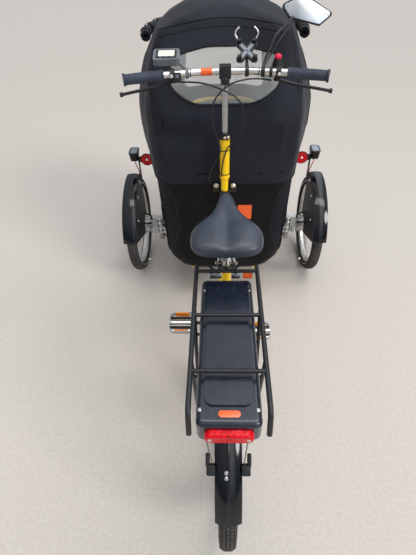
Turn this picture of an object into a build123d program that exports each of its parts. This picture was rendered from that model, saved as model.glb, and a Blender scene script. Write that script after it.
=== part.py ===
"""Electric cargo tricycle: a hooded tub between two steered front wheels, and a bicycle rear end
with a hub motor.

Millimetres. X points right, Y forward, Z up. The origin is on the ground in the middle of the whole machine.
Distances called reach are measured forward from the rear axle.
"""

import os
from math import atan2, cos, degrees, hypot, pi, radians, sin, sqrt

from build123d import *

os.makedirs("parts", exist_ok=True)

# Wheels
front_tyre_r = 250.0
rear_tyre_r = 330.0
tyre_width = 49.0
tyre_depth = 44.0  # from the rim's outer face to the tread
rim_depth = 18.0
spoke_r = 1.1
seat_gap = 0.3  # between pieces that sit on each other
running_gap = 0.05  # in a bearing, on the radius

# Ground plan
wheelbase = 1159.0
front_track = 917.0
column_reach = 800.0
crank_reach = 410.0
crank_height = 297.5
hood_stand = 11.0  # from the rim of the tub out to the inside of the hood
hood_cloth = 5.0
tub_nose_reach = 1656.0

# The whole length runs from the rear tyre to the hood's hem at the nose.
rear_y = (rear_tyre_r - tub_nose_reach - hood_stand - hood_cloth) / 2
front_y = rear_y + wheelbase
column_y = rear_y + column_reach
crank_y = rear_y + crank_reach

# Tub and hood
tub_floor_z = 205.0
tub_rim_z = 735.0
tub_wall = 5.0
hood_hem_z = 690.0
rim_tube_r = 11.0

# Frame tubes, radii
housing_r = 18.0
housing_top = 895.0
housing_foot = 172.0
neck_r = 14.0
neck_top = 745.0
neck_foot = 520.0
housing_bore = 12.5
backbone_r = 25.0
strut_r = 15.0
seat_tube_r = 16.0
seat_tube_top = 742.0
seat_tube_lean = 0.236  # backwards for each mm upwards
shell_r = 20.0
shell_half = 36.5
spindle_r = 8.5
rail_r = 15.0
rail_half = 150.0
beam_r = 17.0
beam_half = 290.0

# Steering
column_r = 11.1
kingpin_half_track = 345.0
kingpin_r = 8.0
kingpin_tube_r = 17.0
kingpin_tube_foot = 215.0
kingpin_tube_top = 285.0
arm_z = 154.0  # underside of the steering arms
arm_thick = 8.0
arm_reach = 70.0
arm_side = 20.0
tie_rod_r = 6.0
rod_pin_r = 4.0
stub_r = 8.0

# Handlebar
bar_z = 1112.0
bar_r = 11.0
bar_half = 321.5
grip_r = 16.0
grip_length = 128.0

# Rear end
dropout_half = 67.5
dropout_thick = 6.0
axle_r = 6.0
stay_r = 8.0
chain_x = 55.0
chain_pitch = 12.7
ring_teeth = 42
sprocket_teeth = 18
crank_length = 170.0
crank_tilt = 33.0  # left crank, backwards from upright
crank_x = 66.0
crank_thick = 14.0
pedal_inner = 110.0
pedal_outer = 198.6
pedal_pin_r = 6.0
rear_guard_r = rear_tyre_r + 13  # to the inside, at its edges
rear_guard_half = 31.25
guard_wall = 2.5
rack_half = 83.0
rack_r = 6.0
battery_half = 69.0
battery_bottom = 2 * rear_tyre_r + 38
battery_top = battery_bottom + 64
rack_z = battery_bottom + 86

# Front guards
guard_plate_x = 418.0
guard_r = 285.0
guard_outer_x = 484.0
guard_from = 83.0  # degrees up from straight ahead
guard_to = 163.0

ring_r = chain_pitch / (2 * sin(pi / ring_teeth))
sprocket_r = chain_pitch / (2 * sin(pi / sprocket_teeth))


def bar(start, end, radius, mode=Mode.ADD):
    """A straight round bar between two points."""
    axis = Vector(*end) - Vector(*start)
    with BuildSketch(Plane(origin=start, z_dir=axis)) as section:
        Circle(radius)
    extrude(section.sketch, amount=axis.length, mode=mode)


def bent_bar(points, bends, radius, mode=Mode.ADD):
    """A round bar of straight runs joined by arcs of the given radii."""
    with BuildLine() as route:
        FilletPolyline(*points, radius=bends)
    with BuildSketch(Plane(origin=points[0], z_dir=Vector(*points[1]) - Vector(*points[0]))) as section:
        Circle(radius)
    sweep(section.sketch, path=route.line, mode=mode)


def mirrored(points):
    """Points of the right half, then the same points on the left, in order round an outline."""
    return [*points, *[(-x, *rest) for x, *rest in reversed(points)]]


# Corners of a tub or hood outline, as shares of its half width and of its nose length
shoulder_width = 0.80
shoulder_place = 0.55
nose_width = 0.42
rear_bend = 0.11  # bend radii as shares of the outline's length
wide_bend = 0.30
shoulder_bend = 0.50
nose_bend = 0.16


def moved_in(points, distance):
    """Corners of a closed outline, counterclockwise, with every side moved in by a distance."""
    corners = []
    for before, corner, after in zip(points[-1:] + points[:-1], points, points[1:] + points[:1]):
        arriving = Vector(corner[0] - before[0], corner[1] - before[1]).normalized()
        leaving = Vector(after[0] - corner[0], after[1] - corner[1]).normalized()
        inward = Vector(-arriving.Y - leaving.Y, arriving.X + leaving.X)
        shift = inward * (distance / (1 + arriving.dot(leaving)))
        corners.append((corner[0] + shift.X, corner[1] + shift.Y))
    return corners


def outline_corners(section, inset=0.0):
    """The corners of an outline, up its right side and back down its left."""
    height, back, nose, rear_half, wide_half, wide_at = section
    right = [
        (rear_half, rear_y + back),
        (wide_half, rear_y + wide_at),
        (wide_half * shoulder_width, rear_y + wide_at + (nose - wide_at) * shoulder_place),
        (wide_half * nose_width, rear_y + nose),
    ]
    return moved_in(mirrored(right), inset)


def half_width(section, reach):
    """Half the width of an outline at a reach, between its corners."""
    right = outline_corners(section)[:4]
    for low, high in zip(right, right[1:]):
        if rear_y + reach <= high[1]:
            break
    return low[0] + (high[0] - low[0]) * (rear_y + reach - low[1]) / (high[1] - low[1])


def outline(section, inset=0.0):
    """An egg-shaped outline of lines and arcs at its own height."""
    length = section[2] - section[1]
    bends = [length * share - inset for share in (rear_bend, wide_bend, shoulder_bend, nose_bend)]
    with BuildSketch(Plane.XY.offset(section[0])) as face:
        with BuildLine():
            FilletPolyline(*outline_corners(section, inset), radius=bends + bends[::-1], close=True)
        make_face()
    return face.sketch


def section_at(sections, height):
    """The outline between two rows of a table, at a height."""
    for low, high in zip(sections, sections[1:]):
        if height <= high[0]:
            break
    share = (height - low[0]) / (high[0] - low[0])
    return tuple(a + (b - a) * share for a, b in zip(low, high))


# height, back reach, nose reach, half width at the back, widest half width, reach of the widest place
tub_sections = (
    (tub_floor_z, 868, tub_nose_reach - 110, 150, 255, 1150),
    (tub_floor_z + 9, 852, tub_nose_reach - 96, 178, 280, 1150),
    (tub_floor_z + 30, 842, tub_nose_reach - 80, 212, 300, 1150),
    (tub_floor_z + 70, 836, tub_nose_reach - 60, 245, 314, 1150),
    (tub_floor_z + 125, 834, tub_nose_reach - 45, 262, 319, 1145),
    (tub_rim_z, 840, tub_nose_reach, 272, 330, 1140),
)
hood_sections = (
    (hood_hem_z, 827, tub_nose_reach + hood_stand + hood_cloth, 272, 346, 1140),
    (800, 838, tub_nose_reach + 8, 282, 361, 1135),
    (930, 866, tub_nose_reach - 6, 285, 361, 1130),
    (1040, 920, tub_nose_reach - 66, 275, 331, 1130),
    (1130, 970, tub_nose_reach - 126, 255, 290, 1140),
    (1185, 998, tub_nose_reach - 174, 236, 262, 1150),
    (1222, 1015, tub_nose_reach - 216, 150, 215, 1160),
    (1245, 1060, tub_nose_reach - 266, 70, 160, 1180),
    (1255, 1130, tub_nose_reach - 326, 40, 98, 1200),
)

# Tub shell, with its side windows cut out and glazed by the cut-outs themselves
lip_depth = 8.0
with BuildPart() as tub_walls:
    loft([outline(s) for s in tub_sections], ruled=True)
    lip_ends = [section_at(hood_sections, z) for z in (tub_rim_z - lip_depth, tub_rim_z)]
    loft([outline(s, hood_cloth + seat_gap) for s in lip_ends], ruled=True)
    inside = [outline(s, tub_wall) for s in tub_sections[2:]]
    with BuildSketch(Plane.XY.offset(tub_floor_z + tub_wall)) as pan:
        add(outline(tub_sections[0], tub_wall).moved(Location((0, 0, tub_wall))))
    loft([pan.sketch, *inside], ruled=True, mode=Mode.SUBTRACT)

window_points = [(880, 300), (1080, 285), (1080, 425), (880, 470)]
with BuildSketch(Plane.YZ) as side_window:
    with BuildLine():
        FilletPolyline(*[(rear_y + reach, z) for reach, z in window_points], radius=25, close=True)
    make_face()

with BuildPart() as tub_shell:
    add(tub_walls.part)
    extrude(side_window.sketch, amount=400, both=True, mode=Mode.SUBTRACT)
tub_shell.part.label = "tub_shell"
export_step(tub_shell.part, "parts/tub_shell.step")

with BuildPart() as tub_windows:
    add(tub_walls.part)
    extrude(side_window.sketch, amount=400, both=True, mode=Mode.INTERSECT)
tub_windows.part.label = "tub_windows"
export_step(tub_windows.part, "parts/tub_windows.step")

# Hood: one canopy with a lens-shaped rear window, a windscreen and open sides
with BuildPart() as canopy:
    loft([outline(s) for s in hood_sections], ruled=True)
    inner = [outline(s, hood_cloth) for s in hood_sections[:-1]]
    roof_z = hood_sections[-1][0]
    top_inner = outline(section_at(hood_sections, roof_z - hood_cloth), hood_cloth)
    loft([*inner, top_inner], ruled=True, mode=Mode.SUBTRACT)

rear_window_depth = 250.0
# x, height and bend radius of the right half's corners
rear_window_table = ((118, 983, 70), (199, 1034, 45), (183, 1118, 24), (60, 1142, 200))
with BuildSketch(Plane.XZ.offset(-rear_y - 780)) as rear_window:
    with BuildLine():
        bends = [bend for x, z, bend in rear_window_table]
        corners = mirrored([(x, z) for x, z, bend in rear_window_table])
        FilletPolyline(*corners, radius=bends + bends[::-1], close=True)
    make_face()

screen_reach = tub_nose_reach - 256
screen_depth = 320.0
with BuildSketch(Plane.XZ.offset(-rear_y - screen_reach)) as windscreen:
    with BuildLine():
        FilletPolyline((-205, 800), (205, 800), (165, 1120), (-165, 1120), radius=40, close=True)
    make_face()

side_points = [(1085, 800), (screen_reach, 800), (screen_reach - 20, 1085), (1110, 1095)]
with BuildSketch(Plane.YZ) as side_opening:
    with BuildLine():
        FilletPolyline(*[(rear_y + reach, z) for reach, z in side_points], radius=45, close=True)
    make_face()

with BuildPart() as hood:
    add(canopy.part)
    extrude(rear_window.sketch, amount=-rear_window_depth, mode=Mode.SUBTRACT)
    extrude(windscreen.sketch, amount=-screen_depth, mode=Mode.SUBTRACT)
    extrude(side_opening.sketch, amount=450, both=True, mode=Mode.SUBTRACT)
hood.part.label = "hood"
export_step(hood.part, "parts/hood.step")

with BuildPart() as window_blocks:
    extrude(rear_window.sketch, amount=-rear_window_depth)
    extrude(windscreen.sketch, amount=-screen_depth)
with BuildPart() as hood_windows:
    add(canopy.part)
    add(window_blocks.part, mode=Mode.INTERSECT)
hood_windows.part.label = "hood_windows"
export_step(hood_windows.part, "parts/hood_windows.step")

# Rolled side flaps, strapped along the shoulders of the hood
roll_r = 21.0
roll_z = 1158.0
with BuildPart() as hood_rolls:
    at_roll = section_at(hood_sections, roll_z)
    above_roll = section_at(hood_sections, roll_z + roll_r)
    lean = (at_roll[4] - above_roll[4]) / roll_r  # inwards for each mm upwards
    stand_off = (roll_r + seat_gap) * hypot(1, lean)
    corners = outline_corners(at_roll, -stand_off)
    roll_bend = (at_roll[2] - at_roll[1]) * wide_bend + stand_off
    for side in (-1, 1):
        places = [Vector(side * x, y, roll_z) for x, y in corners[:3]]
        start = (places[0] + places[1] * 2) * (1 / 3)
        end = (places[2] * 3 + places[1]) * (1 / 4)
        bent_bar([tuple(start), tuple(places[1]), tuple(end)], roll_bend, roll_r)
hood_rolls.part.label = "hood_rolls"
export_step(hood_rolls.part, "parts/hood_rolls.step")

# Ring of yellow tube inside the rim of the tub
with BuildPart() as rim_ring:
    ring_z = tub_rim_z - 4
    ring_section = section_at(tub_sections, ring_z)
    ring_inset = tub_wall + rim_tube_r + seat_gap
    path = outline(ring_section, ring_inset).wires()[0]
    start_edge = path.edges().sort_by(Axis.Y)[0]
    with BuildSketch(Plane(origin=start_edge @ 0.5, z_dir=start_edge % 0.5)) as section:
        Circle(rim_tube_r)
    sweep(section.sketch, path=path)
rim_ring.part.label = "rim_ring"
export_step(rim_ring.part, "parts/rim_ring.step")

# Two hoops that hold the hood up, from the rim ring to the roof
hoop_r = 6.0
hoop_margin = hood_cloth + hoop_r + 9
with BuildPart() as hood_hoops:
    # reach, height of the shoulder, half width and height of the flat top
    for reach, shoulder_z, top_half, top_z in ((1060, 1090, 110, 1210), (tub_nose_reach - 251, 1060, 70, 1165)):
        y = rear_y + reach
        right = [(half_width(ring_section, reach) - ring_inset, y, ring_z + rim_tube_r + seat_gap)]
        for z in (930, shoulder_z):
            right.append((half_width(section_at(hood_sections, z), reach) - hoop_margin, y, z))
        right.append((top_half, y, top_z))
        bent_bar(mirrored(right), [200, 90, 50, 50, 90, 200], hoop_r)
hood_hoops.part.label = "hood_hoops"
export_step(hood_hoops.part, "parts/hood_hoops.step")

# Bench across the back of the tub, with a seat pad and a back pad
bench_z = 430.0
bench_depth = 245.0
board = 12.0
pad_thick = 32.0
with BuildPart() as bench:
    at_bench = section_at(tub_sections, bench_z)
    back = rear_y + at_bench[1] + tub_wall + seat_gap
    with BuildSketch(Plane.XY.offset(bench_z - board)):
        with BuildLine():
            right = [(165, back), (222, back + 60), (285, back + bench_depth)]
            Polyline(*mirrored(right), close=True)
        make_face()
    extrude(amount=board)
    for side in (-1, 1):
        with BuildSketch(Plane.YZ.offset(side * 110 - board / 2)):
            with Locations((back + bench_depth / 2 + 10, (bench_z + tub_floor_z + tub_wall) / 2)):
                Rectangle(bench_depth - 100, bench_z - tub_floor_z - tub_wall - 2 * seat_gap)
        extrude(amount=board)
bench.part.label = "bench"
export_step(bench.part, "parts/bench.step")

with BuildPart() as bench_pads:
    with BuildSketch(Plane.XY.offset(bench_z + seat_gap)):
        with BuildLine():
            FilletPolyline(
                (-185, back + 45), (185, back + 45), (235, back + bench_depth), (-235, back + bench_depth),
                radius=25, close=True,
            )
        make_face()
    extrude(amount=pad_thick)
    back_pad_z = bench_z + 150
    back_pad_height = 230.0
    leaning = section_at(tub_sections, back_pad_z + back_pad_height / 2)
    with BuildSketch(Plane.XZ.offset(-rear_y - leaning[1] - tub_wall - seat_gap)):
        with Locations((0, back_pad_z)):
            RectangleRounded(310, back_pad_height, 40)
    extrude(amount=-pad_thick)
bench_pads.part.label = "bench_pads"
export_step(bench_pads.part, "parts/bench_pads.step")

# Main frame: column housing with its narrow neck, backbone, lower strut, seat tube and bottom bracket shell
seat_top_y = crank_y - (seat_tube_top - crank_height) * seat_tube_lean
post_r = 13.6
with BuildPart() as main_frame:
    # foot height, top height, foot radius, top radius
    for low, high, low_r, high_r in (
        (housing_foot, neck_foot - 25, housing_r, housing_r),
        (neck_foot - 25, neck_foot, housing_r, neck_r),
        (neck_foot, neck_top - 22, neck_r, neck_r),
        (neck_top - 22, neck_top - 4, neck_r, housing_r),
        (neck_top - 4, neck_top, housing_r + 1.5, housing_r + 1.5),
        (neck_top, housing_top, housing_r, housing_r),
    ):
        with Locations((0, column_y, (low + high) / 2)):
            if low_r == high_r:
                Cylinder(low_r, high - low)
            else:
                Cone(low_r, high_r, high - low)
    bar((0, column_y, 405), (0, crank_y - 12, 372), backbone_r)
    bar((0, column_y, 222), (0, crank_y, crank_height), strut_r)
    bar((0, crank_y, crank_height), (0, seat_top_y, seat_tube_top), seat_tube_r)
    bar((-shell_half, crank_y, crank_height), (shell_half, crank_y, crank_height), shell_r)
    bar((0, column_y, housing_foot - 1), (0, column_y, housing_top + 1), housing_bore, mode=Mode.SUBTRACT)
    bar((-50, crank_y, crank_height), (50, crank_y, crank_height), spindle_r + running_gap, mode=Mode.SUBTRACT)
    post_low = (0, crank_y - (seat_tube_top - 150 - crank_height) * seat_tube_lean, seat_tube_top - 150)
    bar(post_low, (0, seat_top_y - 5 * seat_tube_lean, seat_tube_top + 5), post_r + 0.2, mode=Mode.SUBTRACT)
main_frame.part.label = "main_frame"
export_step(main_frame.part, "parts/main_frame.step")

# Under frame: a bar from the housing to a cross tube below the tub, two rails and a front cross tube
rail_z = tub_floor_z - seat_gap - rail_r
rail_back = rear_y + 905
rail_front = rear_y + tub_nose_reach - 236
with BuildPart() as under_frame:
    bar((0, column_y, rail_z), (0, rail_back, rail_z), rail_r)
    for side in (-1, 1):
        bar((side * rail_half, rail_back - rail_r, rail_z), (side * rail_half, rail_front, rail_z), rail_r)
    for y in (rail_back, rail_front):
        bar((-rail_half, y, rail_z), (rail_half, y, rail_z), rail_r - 2)
    add(main_frame.part, mode=Mode.SUBTRACT)
    bar((0, column_y, housing_foot - 9), (0, column_y, rail_z + 40), housing_bore, mode=Mode.SUBTRACT)
under_frame.part.label = "under_frame"
export_step(under_frame.part, "parts/under_frame.step")

# Front axle: a beam notched under the rails, bent up at its ends into the kingpin tubes
beam_z = tub_floor_z - seat_gap - beam_r - 4
with BuildPart() as front_axle:
    beam_side = [(kingpin_half_track - 8, front_y, kingpin_tube_foot + 27), (beam_half, front_y, beam_z)]
    bent_bar(mirrored(beam_side), 45, beam_r)
    for side in (-1, 1):
        pin_x = side * kingpin_half_track
        bar((pin_x, front_y, kingpin_tube_foot), (pin_x, front_y, kingpin_tube_top), kingpin_tube_r)
        bore = kingpin_r + running_gap
        bore_ends = [(pin_x, front_y, z) for z in (kingpin_tube_foot - 30, kingpin_tube_top + 30)]
        bar(*bore_ends, bore, mode=Mode.SUBTRACT)
        with Locations((pin_x, front_y, kingpin_tube_foot - 20)):
            Cylinder(kingpin_tube_r + 15, 40, mode=Mode.SUBTRACT)
        notch = [(side * rail_half, y, rail_z) for y in (rail_back, rail_front)]
        bar(*notch, rail_r + seat_gap, mode=Mode.SUBTRACT)
front_axle.part.label = "front_axle"
export_step(front_axle.part, "parts/front_axle.step")

# Rear triangle: chainstays, seat stays, bridges and dropouts
with BuildPart() as rear_triangle:
    for side in (-1, 1):
        stay_x = side * (dropout_half + dropout_thick / 2)
        chainstay = [
            (side * 24, crank_y, crank_height),
            (side * 43, rear_y + 325, crank_height + 6),
            (side * 50, rear_y + 200, crank_height + 16),
            (stay_x, rear_y + 22, rear_tyre_r - 3),
        ]
        bent_bar(chainstay, [60, 150], stay_r)
        seat_stay = [
            (side * 10, rear_y + 338, 612),
            (side * 42, rear_y + 300, 580),
            (side * 50, rear_y + 240, 530),
            (stay_x, rear_y + 18, rear_tyre_r + 20),
        ]
        bent_bar(seat_stay, [30, 150], stay_r - 1)
        with BuildSketch(Plane.YZ.offset(side * dropout_half + min(0, side * dropout_thick))):
            with Locations((rear_y, rear_tyre_r)):
                Circle(18)
            with Locations((rear_y + 20, rear_tyre_r + 8)):
                Rectangle(36, 44)
        extrude(amount=dropout_thick)
    bar((-46, rear_y + 372, crank_height + 3), (46, rear_y + 372, crank_height + 3), 6)
    bar((-90, rear_y, rear_tyre_r), (90, rear_y, rear_tyre_r), axle_r + 0.1, mode=Mode.SUBTRACT)
    bar((-shell_half, crank_y, crank_height), (shell_half, crank_y, crank_height), shell_r, mode=Mode.SUBTRACT)
    bar((0, crank_y, crank_height), (0, seat_top_y, seat_tube_top), seat_tube_r, mode=Mode.SUBTRACT)
rear_triangle.part.label = "rear_triangle"
export_step(rear_triangle.part, "parts/rear_triangle.step")

# Headset cups at both ends of the housing
with BuildPart() as headset:
    # height, radius, thickness
    for z, radius, thick in ((housing_top + seat_gap, 20, 12), (housing_top + seat_gap + 12, 17, 10)):
        with Locations((0, column_y, z + thick / 2)):
            Cylinder(radius, thick)
            Cylinder(column_r + running_gap, thick, mode=Mode.SUBTRACT)
    with Locations((0, column_y, housing_foot - seat_gap - 3)):
        Cylinder(20, 6)
        Cylinder(column_r + running_gap, 6, mode=Mode.SUBTRACT)
headset.part.label = "headset"
export_step(headset.part, "parts/headset.step")

# Bracket between the housing and the back of the tub, with two bolts
bracket_top = hood_hem_z - 3
bracket_height = 34.0
bracket_plate = 8.0
with BuildPart() as tub_bracket:
    bracket_z = bracket_top - bracket_height / 2
    wall_y = rear_y + section_at(tub_sections, bracket_top - bracket_height)[1] - seat_gap
    with Locations((0, wall_y - bracket_plate / 2, bracket_z)):
        Box(96, bracket_plate, bracket_height)
    for side in (-1, 1):
        with BuildSketch(Plane.XZ.offset(bracket_plate - wall_y)):
            with Locations((side * 33, bracket_z + 4)):
                RegularPolygon(11, 6)
        extrude(amount=7)
    with Locations((0, (column_y + wall_y) / 2, bracket_z)):
        Box(44, wall_y - column_y, 26)
    with Locations((0, column_y, bracket_z)):
        Cylinder(neck_r + 7, 26)
    bar((0, column_y, bracket_z - 60), (0, column_y, bracket_z + 60), neck_r + seat_gap, mode=Mode.SUBTRACT)
tub_bracket.part.label = "tub_bracket"
export_step(tub_bracket.part, "parts/tub_bracket.step")

# Seat post with its collar, head and saddle rails
saddle_top = 904.0
saddle_thick = 46.0
groove_r = 26.0
groove_depth = 5.0
rail_level = saddle_top - saddle_thick - 14
saddle_rail_r = 3.5
rail_end_z = saddle_top - saddle_thick - seat_gap - saddle_rail_r
post_y = crank_y - (rail_level - 8 - crank_height) * seat_tube_lean
with BuildPart() as seat_post:
    bar(
        (0, crank_y - (seat_tube_top - 120 - crank_height) * seat_tube_lean, seat_tube_top - 120),
        (0, post_y, rail_level - 8),
        post_r,
    )
    bar(
        (0, seat_top_y - 0.5 * seat_tube_lean, seat_tube_top + 0.5),
        (0, seat_top_y - 16 * seat_tube_lean, seat_tube_top + 16),
        post_r + 6,
    )
    with Locations((0, post_y, rail_level)):
        Box(58, 40, 16)
    for side in (-1, 1):
        rail = [
            (side * 24, rear_y + 230, rail_end_z),
            (side * 22, rear_y + 262, rail_level),
            (side * 22, rear_y + 345, rail_level),
            (side * 8, rear_y + 427, rail_end_z),
        ]
        bent_bar(rail, [25, 40], saddle_rail_r)
seat_post.part.label = "seat_post"
export_step(seat_post.part, "parts/seat_post.step")

# Saddle: pear-shaped pad with a groove along its middle
with BuildPart() as saddle:
    # x and reach of the right half's corners
    saddle_half = [(52, 188), (98, 216), (98, 283), (46, 345), (24, 400), (17, 456)]
    bends = [30, 34, 60, 90, 60, 14]
    with BuildSketch(Plane.XY.offset(saddle_top - saddle_thick)):
        with BuildLine():
            right = [(x, rear_y + reach) for x, reach in saddle_half]
            FilletPolyline(*mirrored(right), radius=bends + bends[::-1], close=True)
        make_face()
    extrude(amount=saddle_thick)
    fillet(saddle.faces().sort_by(Axis.Z)[-1].edges(), 11)
    groove_z = saddle_top + groove_r - groove_depth
    bar((0, rear_y + 100, groove_z), (0, rear_y + 500, groove_z), groove_r, mode=Mode.SUBTRACT)
saddle.part.label = "saddle"
export_step(saddle.part, "parts/saddle.step")

# Rack: two rails that drop at the back, cross bars, lower deck rails and legs
rack_front = rear_y + 222
rack_back = rear_y - 185
deck_half = 56.0
deck_front = rear_y + 205
deck_back = rear_y - 190
deck_z = battery_bottom - seat_gap - 5
with BuildPart() as rack:
    for side in (-1, 1):
        rail_run = [
            (side * rack_half, rack_back - 20, rack_z - 56),
            (side * rack_half, rack_back, rack_z),
            (side * rack_half, rack_front + 21, rack_z),
        ]
        bent_bar(rail_run, 26, rack_r)
    for y in (rack_front, rear_y + 66, rear_y - 91):
        bar((-rack_half, y, rack_z), (rack_half, y, rack_z), rack_r - 1)
    for side in (-1, 1):
        bar((side * deck_half, deck_back, deck_z), (side * deck_half, deck_front, deck_z), 5)
        # Reach of a leg's top, and of the brace from it to the deck
        for top, brace in ((96, 76), (-62, -50)):
            foot = (side * (rack_half - 1.5), rear_y - 4, rear_tyre_r + 16)
            bar((side * rack_half, rear_y + top, rack_z), foot, 5)
            bar((side * rack_half, rear_y + brace, deck_z), (side * deck_half, rear_y + brace, deck_z), 4)
        lug_x = side * (seat_tube_r + 4 + seat_gap)
        bar((lug_x, rack_front, rack_z), (lug_x, seat_top_y + 16 * seat_tube_lean, seat_tube_top - 16), 4)
    for y in (deck_front - 10, deck_back + 14):
        bar((-deck_half, y, deck_z), (deck_half, y, deck_z), 4)
rack.part.label = "rack"
export_step(rack.part, "parts/rack.step")

# Battery between the two decks
battery_front = rear_y + 214
battery_back = rear_y - 203
with BuildPart() as battery:
    with BuildSketch(Plane.XY.offset(battery_bottom)):
        with Locations((0, (battery_front + battery_back) / 2)):
            RectangleRounded(2 * battery_half, battery_front - battery_back, 16)
    extrude(amount=battery_top - battery_bottom)
    fillet(battery.faces().sort_by(Axis.Z)[-1].edges(), 12)
    with BuildSketch(Plane.XY.offset(battery_top - 2)):
        with Locations((0, (battery_front + battery_back) / 2 + 12)):
            RectangleRounded(104, battery_front - battery_back - 60, 20)
    extrude(amount=8)
battery.part.label = "battery"
export_step(battery.part, "parts/battery.step")

# Tail light on the back of the battery
with BuildPart() as tail_light:
    with BuildSketch(Plane.XZ.offset(seat_gap - battery_back)):
        with Locations((0, battery_bottom + 30)):
            SlotOverall(104, 34)
    extrude(amount=15)
    fillet(tail_light.faces().sort_by(Axis.Y)[0].edges(), 6)
tail_light.part.label = "tail_light"
export_step(tail_light.part, "parts/tail_light.step")

# Rear mudguard, from ahead of the bottom bracket over the wheel, with its wire stays
def guard_plane(x, y, z, angle):
    """A plane through an axle, with local x along it and local y out at an angle up from straight ahead."""
    return Plane(origin=(x, y, z), x_dir=(1, 0, 0), z_dir=(0, -sin(radians(angle)), cos(radians(angle))))


def crowned_strip(left, right, edge_r, crown, wall):
    """The section of a mudguard: a curved strip with its crown outwards."""
    middle = (left + right) / 2
    ThreePointArc((left, edge_r), (middle, edge_r + crown), (right, edge_r))
    Line((right, edge_r), (right, edge_r + wall))
    ThreePointArc((right, edge_r + wall), (middle, edge_r + crown + wall), (left, edge_r + wall))
    Line((left, edge_r + wall), (left, edge_r))


rear_guard_from = -4.0
rear_guard_to = 153.0
rear_guard_crown = 9.0
bead_r = 4.0  # of the bead pressed along its middle
wire_r = 2.0
with BuildPart() as rear_mudguard:
    with BuildSketch(guard_plane(0, rear_y, rear_tyre_r, rear_guard_from)):
        with BuildLine():
            crowned_strip(-rear_guard_half, rear_guard_half, rear_guard_r, rear_guard_crown, guard_wall)
        make_face()
        with Locations((0, rear_guard_r + rear_guard_crown)):
            Circle(bead_r)
    revolve(axis=Axis((0, rear_y, rear_tyre_r), (1, 0, 0)), revolution_arc=rear_guard_to - rear_guard_from)
rear_mudguard.part.label = "rear_mudguard"
export_step(rear_mudguard.part, "parts/rear_mudguard.step")

stay_angle = radians(131)
with BuildPart() as guard_stays:
    for side in (-1, 1):
        out = rear_guard_r + guard_wall / 2
        clip_x = side * (rear_guard_half + wire_r + seat_gap)
        clip = (clip_x, rear_y + out * cos(stay_angle), rear_tyre_r + out * sin(stay_angle))
        eye = (side * (dropout_half + dropout_thick + wire_r + seat_gap), rear_y - 12, rear_tyre_r + 14)
        bar(eye, clip, wire_r)
guard_stays.part.label = "guard_stays"
export_step(guard_stays.part, "parts/guard_stays.step")

# Rear axle with locknuts and nuts, and the roller brake on its left end
nut_thick = 9.0
brake_in = -50.0
brake_thick = 9.0
brake_cup_r = 42.0
with BuildPart() as rear_axle:
    end = dropout_half + dropout_thick + nut_thick + 2
    bar((-end, rear_y, rear_tyre_r), (end, rear_y, rear_tyre_r), axle_r)
    for side in (-1, 1):
        with BuildSketch(Plane.YZ.offset(side * (dropout_half + dropout_thick + nut_thick / 2) - nut_thick / 2)):
            with Locations((rear_y, rear_tyre_r)):
                RegularPolygon(11, 6)
        extrude(amount=nut_thick)
    bar((dropout_half - 6, rear_y, rear_tyre_r), (dropout_half, rear_y, rear_tyre_r), 10)
    bar((-dropout_half, rear_y, rear_tyre_r), (brake_in, rear_y, rear_tyre_r), 12)
    bar((brake_in - brake_thick, rear_y, rear_tyre_r), (brake_in, rear_y, rear_tyre_r), brake_cup_r)
    with BuildSketch(Plane.YZ.offset(brake_in - brake_thick)):
        with Locations((rear_y + 52, rear_tyre_r + 18)):
            Rectangle(96, 14)
    extrude(amount=5)
rear_axle.part.label = "rear_axle"
export_step(rear_axle.part, "parts/rear_axle.step")

# Wheels
front_middle = front_track / 2
wheel_table = (
    # name, side, wheel middle x, y, tyre radius, half distance of the flanges, flange radius, spokes
    ("front_left", -1, -front_middle, front_y, front_tyre_r, 25, 50, 28),
    ("front_right", 1, front_middle, front_y, front_tyre_r, 25, 50, 28),
    ("rear", 1, 0.0, rear_y, rear_tyre_r, 34, 68, 36),
)
drum_in = 398.0
drum_out = 432.0
drum_r = 44.0
hub_out = 487.0
flange_thick = 3.0
bore_half = 120.0  # longer than any hub
tooth_thick = 2.4


def toothed_disc(pitch_r, teeth):
    """A disc whose teeth end just inside the chain that runs round it."""
    tip_r = pitch_r - 4.6
    Circle(tip_r)
    with PolarLocations(tip_r, teeth):
        RegularPolygon(3.8, 6, mode=Mode.SUBTRACT)


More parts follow.
